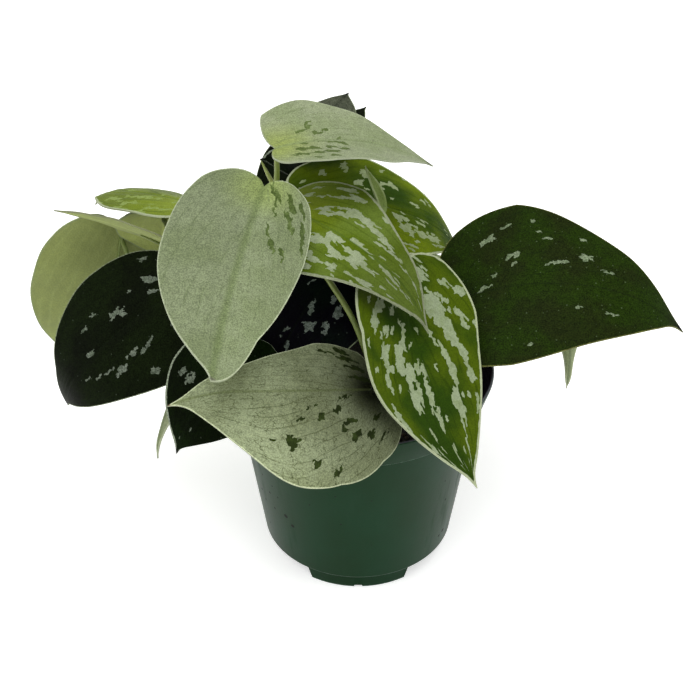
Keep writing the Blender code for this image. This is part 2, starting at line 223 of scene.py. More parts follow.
def hand_over(piece: bpy.types.Object, node: str) -> None:
    """Tie a finished piece to the model: its body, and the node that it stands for.

    Args:
        piece: The finished piece.
        node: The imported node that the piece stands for.
    """
    piece.name = node + "_look"
    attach(piece, BODY)
    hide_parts(node)
    piece.data.calc_loop_triangles()
    LOG.info("%s: %d triangles", piece.name, len(piece.data.loop_triangles))


def tube(name: str, points: np.ndarray, radii: Sequence[float]) -> bpy.types.Object:
    """Make a closed tube along a line, with its radius set at each point.

    Args:
        name: The tube's name.
        points: The line's points, in mm.
        radii: The radius at each point, in mm.

    Returns:
        A mesh object.
    """
    curve = bpy.data.curves.new(name, "CURVE")
    curve.dimensions = "3D"
    curve.bevel_depth = MM
    curve.bevel_resolution = TUBE_ROUNDNESS
    curve.use_fill_caps = True
    spline = curve.splines.new("POLY")
    spline.points.add(len(points) - 1)
    for control, point, radius in zip(spline.points, points, radii):
        control.co = (*(np.asarray(point) * MM), 1.0)
        control.radius = float(radius)
    made = bpy.data.objects.new(name, curve)
    bpy.context.scene.collection.objects.link(made)
    pick(made)
    bpy.ops.object.convert(target="MESH")
    return bpy.context.object


# Shader node groups and materials


@dataclass
class Sheet:
    """A node tree that is filled in by short calls; a value is a number, a tuple or a node's socket."""

    tree: bpy.types.NodeTree

    def feed(self, node: bpy.types.Node, links: dict) -> bpy.types.Node:
        """Set or link a node's inputs.

        Args:
            node: The node.
            links: A value for each named or numbered input.

        Returns:
            The same node.
        """
        for label, value in links.items():
            if isinstance(value, Socket):
                self.tree.links.new(value, node.inputs[label])
            else:
                node.inputs[label].default_value = value
        return node

    def node(self, kind: str, links: dict | None = None, **settings: object) -> bpy.types.Node:
        """Add a node.

        Args:
            kind: The node's type, without its ShaderNode prefix.
            links: A value for each named or numbered input.
            settings: The node's own properties.

        Returns:
            The new node.
        """
        made = self.tree.nodes.new("ShaderNode" + kind)
        made.location = (len(self.tree.nodes) % 12 * 190, -(len(self.tree.nodes) // 12) * 260)
        for key, value in settings.items():
            setattr(made, key, value)
        return self.feed(made, links or {})

    def math(self, operation: str, *values: object) -> Socket:
        """Return the result of a Math node."""
        return self.node("Math", dict(enumerate(values)), operation=operation).outputs[0]

    def plus(self, first: object, second: object) -> Socket:
        """Return the sum of two numbers."""
        return self.math("ADD", first, second)

    def minus(self, first: object, second: object) -> Socket:
        """Return the first number less the second."""
        return self.math("SUBTRACT", first, second)

    def times(self, first: object, second: object) -> Socket:
        """Return the product of two numbers."""
        return self.math("MULTIPLY", first, second)

    def vector(self, operation: str, *values: object) -> Socket:
        """Return the result of a Vector Math node; a length comes out of its second output."""
        made = self.node("VectorMath", dict(enumerate(values)), operation=operation)
        return made.outputs[1 if operation in ("LENGTH", "DISTANCE") else 0]

    def scaled(self, vector: object, scale: object) -> Socket:
        """Return a vector times a number."""
        return self.node("VectorMath", {0: vector, "Scale": scale}, operation="SCALE").outputs[0]

    def join(self, *parts: object) -> Socket:
        """Return a vector of two or three numbers."""
        return self.node("CombineXYZ", dict(enumerate((*parts, 0.0)[:3]))).outputs[0]

    def part(self, vector: object, axis: int) -> Socket:
        """Return one number of a vector."""
        return self.node("SeparateXYZ", {0: vector}).outputs[axis]

    def channel(self, colour: object, index: int) -> Socket:
        """Return one channel of a colour."""
        return self.node("SeparateColor", {0: colour}).outputs[index]

    def place(self) -> Socket:
        """Return the object coordinates."""
        return self.node("TexCoord").outputs["Object"]

    def flat_map(self, name: str) -> Socket:
        """Return one of the piece's own UV maps."""
        return self.node("UVMap", uv_map=name).outputs[0]

    def mix(self, share: object, first: object, second: object, blend: str = "MIX") -> Socket:
        """Return two colours mixed by a share from 0 to 1."""
        links = {0: share, 6: first, 7: second}
        return self.node("Mix", links, data_type="RGBA", blend_type=blend).outputs[2]

    def toned(self, colour: object, tone: object) -> Socket:
        """Return a colour made lighter or darker by a factor."""
        shade = self.node("CombineColor", dict(enumerate((tone, tone, tone)))).outputs[0]
        return self.mix(1.0, colour, shade, "MULTIPLY")

    def blend(self, share: object, first: object, second: object) -> Socket:
        """Return two numbers mixed by a share from 0 to 1."""
        return self.node("Mix", {0: share, 2: first, 3: second}, data_type="FLOAT").outputs[0]

    def rise(self, value: object, low: object, high: object) -> Socket:
        """Return 0 below the low value and 1 above the high one, with a soft step between."""
        links = {0: value, 1: low, 2: high}
        return self.node("MapRange", links, interpolation_type="SMOOTHSTEP").outputs[0]

    def fall(self, value: object, low: object, high: object) -> Socket:
        """Return 1 below the low value and 0 above the high one, with a soft step between."""
        return self.minus(1.0, self.rise(value, low, high))

    def noise(self, place: object, scale: object, detail: float = 2.0, flat: bool = False,
              output: int | str = 0) -> Socket:
        """Return a noise, in the plane if it is flat, as a number or as its "Color"."""
        links = {"Vector": place, "Scale": scale, "Detail": detail}
        return self.node("TexNoise", links, noise_dimensions="2D" if flat else "3D").outputs[output]

    def effect(self, group: bpy.types.NodeTree, **links: object) -> bpy.types.NodeOutputs:
        """Place one shared effect with its own values, and return what comes out of it.

        Args:
            group: The effect's node group.
            links: A value for each named input.

        Returns:
            The effect's outputs, by name.
        """
        made = self.tree.nodes.new("ShaderNodeGroup")
        made.node_tree = group
        return self.feed(made, links).outputs


class Effects:
    """The node groups that several materials share, each built once."""

    def __init__(self) -> None:
        """Build every group; an input whose default is None takes a vector."""
        self.cells = self._group("Vein cells", self._cells, ("Along", "Across", "Chance"),
                                 Streak=None, Length=2.4, Width=1.3, Shift=0.0)
        self.clumps = self._group("Clumped cells", self._clumps, ("Mask",), Along=0.0, Across=0.0, Chance=0.0,
                                  Shift=0.0, Clump=7.0, Cut=0.6, Lone=0.97)
        self.veins = self._group("Side veins", self._veins, ("Mask",),
                                 Streak=None, Spacing=5.0, Width=0.1, Shift=0.0)
        self.net = self._group("Vein net", self._net, ("Mask",),
                               Streak=None, Length=3.4, Width=1.5, Shift=0.0)
        self.margin = self._group("Pale margin", self._margin, ("Mask",), Edge=None, Place=None, Width=0.8)
        self.grain = self._group("Leaf grain", self._grain, ("Tone", "Relief"), Place=None, Scale=1.0)
        self.specks = self._group("Specks", self._specks, ("Mask",),
                                  Place=None, Spacing=6.0, Share=0.2, Size=0.3)

    @staticmethod
    def _group(name: str, fill: Callable[..., tuple[Socket, ...]], outputs: Sequence[str],
               **inputs: float | None) -> bpy.types.NodeTree:
        """Make one group.

        Args:
            name: The group's name.
            fill: Takes the sheet and the inputs in small letters, and returns a socket for each output.
            outputs: The names of the masks and values that come out.
            inputs: A default for each number, or None for a vector.

        Returns:
            The node tree.
        """
        tree = bpy.data.node_groups.new(name, "ShaderNodeTree")
        for label, value in inputs.items():
            kind = "NodeSocketVector" if value is None else "NodeSocketFloat"
            socket = tree.interface.new_socket(label, in_out="INPUT", socket_type=kind)
            if value is not None:
                socket.default_value = value
        for label in outputs:
            tree.interface.new_socket(label, in_out="OUTPUT", socket_type="NodeSocketFloat")
        arriving, leaving = tree.nodes.new("NodeGroupInput"), tree.nodes.new("NodeGroupOutput")
        given = {label.lower(): arriving.outputs[label] for label in inputs}
        for label, socket in zip(outputs, fill(Sheet(tree), **given)):
            tree.links.new(socket, leaving.inputs[label])
        return tree

    @staticmethod
    def _cells(sheet: Sheet, streak: Socket, length: Socket, width: Socket,
               shift: Socket) -> tuple[Socket, ...]:
        """Draw small jagged cells that lie along the veins.

        Args:
            sheet: The group's sheet.
            streak: Coordinates along and across the veins, in mm.
            length: A cell's length along the veins.
            width: A cell's width across them.
            shift: Moves the pattern, so that each leaf has its own.

        Returns:
            The middle of each cell along and across, and a number of its own.
        """
        aside = sheet.join(shift, shift)
        streak = sheet.vector("ADD", streak, aside)
        cloud = sheet.noise(streak, 0.4, flat=True, output="Color")
        wobble = sheet.vector("SUBTRACT", cloud, (0.5, 0.5, 0.5))
        wobble = sheet.vector("MULTIPLY", wobble, (3.0, 2.6, 0.0))
        size = sheet.join(length, width, 1.0)
        place = sheet.vector("DIVIDE", sheet.vector("ADD", streak, wobble), size)
        found = sheet.node("TexVoronoi", {"Vector": place, "Scale": 1.0, "Randomness": 0.85},
                           voronoi_dimensions="2D", distance="CHEBYCHEV").outputs
        middle = sheet.vector("SUBTRACT", sheet.vector("MULTIPLY", found["Position"], size), aside)
        return sheet.part(middle, 0), sheet.part(middle, 1), sheet.channel(found["Color"], 1)

    @staticmethod
    def _clumps(sheet: Sheet, along: Socket, across: Socket, chance: Socket, shift: Socket, clump: Socket,
                cut: Socket, lone: Socket) -> tuple[Socket, ...]:
        """Choose the cells that lie in a clump, and a few on their own.

        Args:
            sheet: The group's sheet.
            along: The cell's middle along the veins.
            across: The cell's middle across them.
            chance: The cell's own number.
            shift: Moves the pattern, so that each leaf has its own.
            clump: A clump's size in mm.
            cut: How dense a clump must be to be filled; 1 or more leaves none.
            lone: The least number of a cell that is filled on its own.

        Returns:
            A mask.
        """
        middle = sheet.join(sheet.plus(sheet.times(along, 0.45), shift), sheet.plus(across, shift))
        cloud = sheet.noise(middle, sheet.math("DIVIDE", 1.0, clump), 1.4, flat=True)
        filled = sheet.math("GREATER_THAN", sheet.plus(cloud, sheet.times(chance, 0.03)), cut)
        return (sheet.math("MAXIMUM", filled, sheet.math("GREATER_THAN", chance, lone)),)

    @staticmethod
    def _veins(sheet: Sheet, streak: Socket, spacing: Socket, width: Socket,
               shift: Socket) -> tuple[Socket, ...]:
        """Draw long soft lines that run with the side veins from the base to the tip.

        Args:
            sheet: The group's sheet.
            streak: Coordinates along and across the veins, in mm.
            spacing: From one vein to the next, in mm.
            width: Half a line's width as a share of the spacing.
            shift: Moves the pattern, so that each leaf has its own.

        Returns:
            A mask.
        """
        across = sheet.part(streak, 1)
        slow = sheet.join(sheet.times(sheet.part(streak, 0), 0.35), across, shift)
        turns = sheet.plus(sheet.math("DIVIDE", across, spacing), sheet.noise(slow, 0.16))
        off = sheet.math("ABSOLUTE", sheet.minus(sheet.math("FRACT", turns), 0.5))
        shown = sheet.rise(sheet.noise(slow, 0.22), 0.3, 0.62)
        return (sheet.times(sheet.fall(off, 0.0, width), shown),)

    @staticmethod
    def _net(sheet: Sheet, streak: Socket, length: Socket, width: Socket,
             shift: Socket) -> tuple[Socket, ...]:
        """Draw the fine net of veinlets between the side veins.

        Args:
            sheet: The group's sheet.
            streak: Coordinates along and across the veins, in mm.
            length: A mesh's length along the veins.
            width: A mesh's width across them.
            shift: Moves the pattern, so that each leaf has its own.

        Returns:
            A mask.
        """
        streak = sheet.vector("ADD", streak, sheet.join(shift, shift))
        wobble = sheet.scaled(sheet.noise(streak, 0.9, 1.0, flat=True, output="Color"), 1.6)
        place = sheet.vector("DIVIDE", sheet.vector("ADD", streak, wobble), sheet.join(length, width, 1.0))
        rim = sheet.node("TexVoronoi", {"Vector": place, "Scale": 1.0}, voronoi_dimensions="2D",
                         feature="DISTANCE_TO_EDGE").outputs["Distance"]
        faded = sheet.rise(sheet.noise(streak, 0.25, flat=True), 0.35, 0.65)
        return (sheet.times(sheet.fall(rim, 0.0, 0.1), faded),)

    @staticmethod
    def _margin(sheet: Sheet, edge: Socket, place: Socket, width: Socket) -> tuple[Socket, ...]:
        """Draw a band along the blade's edge, a little uneven in width.

        Args:
            sheet: The group's sheet.
            edge: Its first number is the distance from the edge, in mm.
            place: Object coordinates, which the unevenness follows.
            width: The band's width in mm.

        Returns:
            A mask.
        """
        reach = sheet.times(width, sheet.plus(sheet.noise(place, 350.0), 0.5))
        return (sheet.fall(sheet.part(edge, 0), sheet.times(reach, 0.7), reach),)

    @staticmethod
    def _grain(sheet: Sheet, place: Socket, scale: Socket) -> tuple[Socket, ...]:
        """Draw the fine pebbled skin of a leaf, with soft cloudy tones.

        Args:
            sheet: The group's sheet.
            place: Object coordinates.
            scale: How much finer than on an upper face the grain is.

        Returns:
            A tone from 0 to 1, and the height of the pebbles.
        """
        place = sheet.scaled(place, scale)
        fine = sheet.rise(sheet.noise(place, 1900.0), 0.28, 0.72)
        soft = sheet.rise(sheet.noise(place, 420.0, 3.0), 0.3, 0.7)
        tone = sheet.plus(sheet.times(fine, 0.8), sheet.times(soft, 0.2))
        cells = sheet.node("TexVoronoi", {"Vector": place, "Scale": 1500.0}).outputs["Distance"]
        return tone, sheet.minus(fine, sheet.times(cells, 0.5))

    @staticmethod
    def _specks(sheet: Sheet, place: Socket, spacing: Socket, share: Socket,
                size: Socket) -> tuple[Socket, ...]:
        """Scatter small crumbs or flecks.

        Args:
            sheet: The group's sheet.
            place: Object coordinates.
            spacing: From one place for a speck to the next, in mm.
            share: The share of the places that hold one.
            size: A speck's radius in mm.

        Returns:
            A mask.
        """
        scale = sheet.math("DIVIDE", 1 / MM, spacing)
        cells = sheet.node("TexVoronoi", {"Vector": place, "Scale": scale}).outputs
        apart = sheet.times(cells["Distance"], spacing)
        reach = sheet.times(size, sheet.plus(sheet.channel(cells["Color"], 1), 0.4))
        held = sheet.math("LESS_THAN", sheet.channel(cells["Color"], 0), share)
        return (sheet.times(sheet.math("LESS_THAN", apart, reach), held),)


@dataclass(frozen=True)
class Marks:
    """Marks on a blade: jagged cells along the veins, in mm, gathered in clumps.

    A clump is filled where its cloud is denser than cut, and a cell on its own where its number is
    above lone, so that a cut of 0.9 with a lone above 1 leaves only the leaf's own larger marks.
    """

    colour: Colour
    inner: Colour
    length: float = 2.6
    width: float = 1.3
    clump: float = 7.0
    cut: float = 0.62
    lone: float = 0.985
    share: float = 1.0


@dataclass(frozen=True)
class BladeFinish:
    """How one leaf is coloured, from its ground and its marks to its margin and its tip.

    Widths, spacings and the tip's length are in mm, and the reach of the base colour is a share of the
    leaf's length. The base colour is partly the leaf's own tint near the joint; on some finishes it is
    painted shade, dark where the joint lies in shade, and on others painted light, bright where the
    joint is shaded. Painted light multiplies the tone: tip_painted_light towards the tip,
    half_painted_light on the (left, right) halves, each by how light falls there. half_margin_shade
    scales the margin's width on those halves, so that a half in shade loses its pale edge, as painted
    shade. midrib_shade darkens the ground along the midrib, as painted shade. The pale margin is partly
    the leaf's own pale edge and partly painted highlight where the rounded edge catches the light.
    """

    slot: Slot
    ground: Colour
    cloud: Colour
    base: Colour
    marks: Marks
    vein: Colour
    vein_share: float
    net_share: float
    midrib: Colour
    midrib_share: float
    margin: Colour
    margin_width: float
    tip: Colour
    tip_length: float
    under: Colour
    under_vein: Colour
    base_reach: float = 0.16
    midrib_width: float = 0.7
    cloud_scale: float = 55.0
    grain: float = 0.2
    tip_painted_light: float = 1.0
    half_painted_light: tuple[float, float] = (1.0, 1.0)
    half_margin_shade: tuple[float, float] = (1.0, 1.0)
    midrib_shade: float = 0.0
    speck_share: float = 0.0
    vein_width: float = 0.14
    vein_spacing: float = 5.2
    roughness: float = 0.5
    mark_roughness: float = 0.62
    specular: float = 0.03


SILVER_MARKS = Marks(
    colour=paint(82, 102, 40), inner=paint(108, 126, 70), length=2.4, width=0.9, cut=0.9, lone=1.1,
    share=0.9,
)
SILVER = BladeFinish(
    slot=Slot.SILVER, ground=paint(154, 168, 134), cloud=paint(143, 158, 119), base=paint(148, 164, 98),
    marks=SILVER_MARKS, vein=paint(122, 138, 92), vein_share=0.5, net_share=0.3, vein_width=0.1,
    midrib=paint(136, 152, 104), midrib_share=0.55, midrib_width=1.6, margin=paint(178, 188, 154),
    margin_width=0.45, tip=paint(110, 112, 92), tip_length=2.5, under=paint(128, 144, 96),
    under_vein=paint(150, 164, 112), grain=0.36, roughness=0.6, specular=0.06,
)
TOP_SILVER = replace(
    SILVER, ground=paint(162, 172, 136), cloud=paint(150, 163, 120), tip_length=5.0, tip=paint(96, 104, 80),
    base=paint(158, 172, 96), base_reach=0.34, marks=replace(SILVER_MARKS, length=2.2, width=1.5),
)
# The front silver leaf: painted light makes its left half and its tip lighter.
FRONT_SILVER = replace(
    SILVER, ground=paint(138, 149, 114), cloud=paint(126, 138, 100), base_reach=0.2,
    marks=replace(SILVER_MARKS, colour=paint(66, 84, 32), width=1.2), half_painted_light=(1.16, 0.98),
    vein=paint(104, 118, 78), vein_width=0.08, midrib=paint(106, 122, 74), midrib_share=0.6,
    midrib_width=2.4, net_share=0.35, tip_painted_light=1.12,
)
# The rim leaf: its near-black base is painted shade where its joint lies deep in the plant, and its
# tip_painted_light and half_painted_light lighten the tip and set each half's tone as painted light.
RIM_SILVER = replace(
    SILVER, ground=paint(130, 139, 107), cloud=paint(114, 122, 90), base=paint(18, 21, 6), base_reach=0.27,
    marks=replace(SILVER_MARKS, colour=paint(34, 44, 12), inner=paint(54, 68, 26), length=1.4, width=1.0,
                  share=1.0),
    vein=paint(66, 72, 42), vein_share=0.7, vein_width=0.08, vein_spacing=3.6, net_share=0.85,
    tip_painted_light=2.15, half_painted_light=(0.9, 0.95), midrib=paint(88, 98, 58), midrib_width=1.0,
    margin=paint(168, 176, 142), tip=paint(90, 66, 56), tip_length=1.5, roughness=0.66,
)
# Its bright base and its tip_painted_light of 0.53 make the joint end lighter than the tip, as painted light
# where the top leaf shades it.
PATCHED = BladeFinish(
    slot=Slot.PATCHED, ground=paint(104, 128, 24), cloud=paint(124, 148, 58), base=paint(150, 168, 42),
    marks=Marks(colour=paint(188, 202, 162), inner=paint(170, 186, 136), cut=0.72, lone=0.98),
    tip_painted_light=0.53, vein=paint(72, 96, 10), vein_share=0.45, net_share=0.12, midrib=paint(92, 122, 48),
    midrib_share=0.45, margin=paint(184, 194, 156), margin_width=0.95, tip=paint(190, 200, 160),
    tip_length=2.5, under=paint(124, 142, 84), under_vein=paint(146, 162, 100), base_reach=0.42,
    roughness=0.48,
)
DEEP_PATCHED = replace(
    PATCHED, ground=paint(44, 70, 6), cloud=paint(80, 100, 8), midrib_shade=0.12, tip_painted_light=1.0,
    marks=replace(PATCHED.marks, colour=paint(160, 174, 138), inner=paint(142, 158, 112)),
    base=paint(58, 80, 2), vein=paint(34, 56, 0), midrib=paint(36, 62, 0), cloud_scale=48.0, base_reach=0.2,
)
SHADED_PATCHED = replace(
    PATCHED, tip_painted_light=1.15, ground=paint(44, 70, 2), cloud=paint(106, 126, 10), midrib_shade=0.1,
    base=paint(60, 80, 4), vein=paint(44, 64, 0), midrib=paint(40, 62, 0), cloud_scale=34.0,
    marks=replace(PATCHED.marks, colour=paint(152, 166, 124), inner=paint(136, 152, 100), length=2.0,
                  width=1.8),
)
YOUNG_PATCHED = replace(
    PATCHED, tip_painted_light=1.0, ground=paint(124, 143, 40), cloud=paint(110, 128, 38), base=paint(148, 166, 62),
    marks=replace(PATCHED.marks, colour=paint(150, 170, 92), inner=paint(140, 160, 76), length=2.0,
                  width=1.4, clump=4.5, cut=0.6),
    tip=paint(40, 40, 30), vein_share=0.6,
)
DARK = BladeFinish(
    slot=Slot.DARK, ground=paint(19, 28, 9), cloud=paint(13, 18, 7), base=paint(22, 32, 8),
    marks=Marks(colour=paint(112, 121, 106), inner=paint(84, 95, 78), length=1.5, width=1.2, cut=0.9,
                lone=1.1),
    vein=paint(12, 17, 9), vein_share=0.3, net_share=0.2, midrib=paint(20, 28, 14), midrib_share=0.3,
    margin=paint(132, 142, 112), margin_width=0.4, tip=paint(10, 10, 10), tip_length=3.0,
    under=paint(100, 112, 76), under_vein=paint(122, 134, 90), grain=0.6, speck_share=0.12,
    mark_roughness=0.6, specular=0.015,
)
CENTRE_DARK = replace(
    DARK, ground=paint(10, 20, 14), cloud=paint(10, 8, 16),
    marks=replace(DARK.marks, colour=paint(120, 130, 122), inner=paint(96, 108, 96)),
)
RIGHT_DARK = replace(
    DARK, ground=paint(36, 55, 8), cloud=paint(34, 44, 12), base=paint(20, 34, 4), cloud_scale=75.0,
    speck_share=0.3, tip_length=5.0, margin=paint(112, 116, 62), margin_width=0.45, vein=paint(24, 40, 14),
    specular=0.02, marks=replace(DARK.marks, colour=paint(132, 146, 116), inner=paint(104, 122, 88)),
    net_share=0.35,
)
TOP_DARK = replace(DARK, ground=paint(84, 89, 72), cloud=paint(62, 66, 56), speck_share=0.3)
# Its pale margin is kept on the blade's right half only, partly as painted highlight on the lit edge, and
# left off the half in shade, as painted shade.
LOW_DARK = replace(
    DARK, ground=paint(14, 28, 4), cloud=paint(10, 18, 4), half_margin_shade=(0.1, 1.0), midrib=paint(20, 30, 14),
    margin=paint(150, 160, 138), margin_width=0.9,
)
NO_MARKS = replace(PATCHED.marks, cut=0.9, lone=1.1)
# The olive undersides are brighter than the upper faces, partly the leaf's own paler underside and partly
# painted light shining through the blade.
OLIVE = BladeFinish(
    slot=Slot.PALE, ground=paint(92, 112, 36), cloud=paint(80, 100, 30), base=paint(110, 130, 60),
    marks=replace(PATCHED.marks, cut=0.62), vein=paint(80, 100, 40), vein_share=0.3, net_share=0.1,
    midrib=paint(150, 166, 90), midrib_share=0.6, margin=paint(156, 170, 112), margin_width=0.6,
    tip=paint(120, 124, 90), tip_length=2.0, under=paint(168, 180, 104), under_vein=paint(176, 190, 114),
    roughness=0.55,
)
# A copy with an even brighter underside, as painted light shining through the blade.
OLIVE_PAINTED_LIGHT_UNDER = replace(OLIVE, under=paint(188, 202, 106), under_vein=paint(196, 210, 112))
# The leaf seen edge-on: its bright midrib is partly the vein's own pale colour and partly painted highlight.
EDGE_OLIVE = replace(
    OLIVE, ground=paint(172, 184, 108), cloud=paint(160, 174, 90), midrib=paint(210, 218, 116),
    midrib_share=0.9, marks=NO_MARKS, margin=paint(134, 140, 100),
)
NEW_GREEN = replace(
    OLIVE, ground=paint(132, 152, 84), cloud=paint(116, 138, 66), base=paint(140, 160, 96), marks=NO_MARKS,
    under=paint(132, 152, 84), midrib=paint(150, 168, 104), margin=paint(160, 176, 120),
)
PALE_YOUNG = replace(
    OLIVE, ground=paint(170, 180, 140), cloud=paint(154, 168, 118), base=paint(160, 174, 120),
    marks=NO_MARKS, midrib=paint(120, 134, 100), margin=paint(196, 204, 170), under=paint(160, 172, 126),
)

Blot = tuple[float, float, float, float]

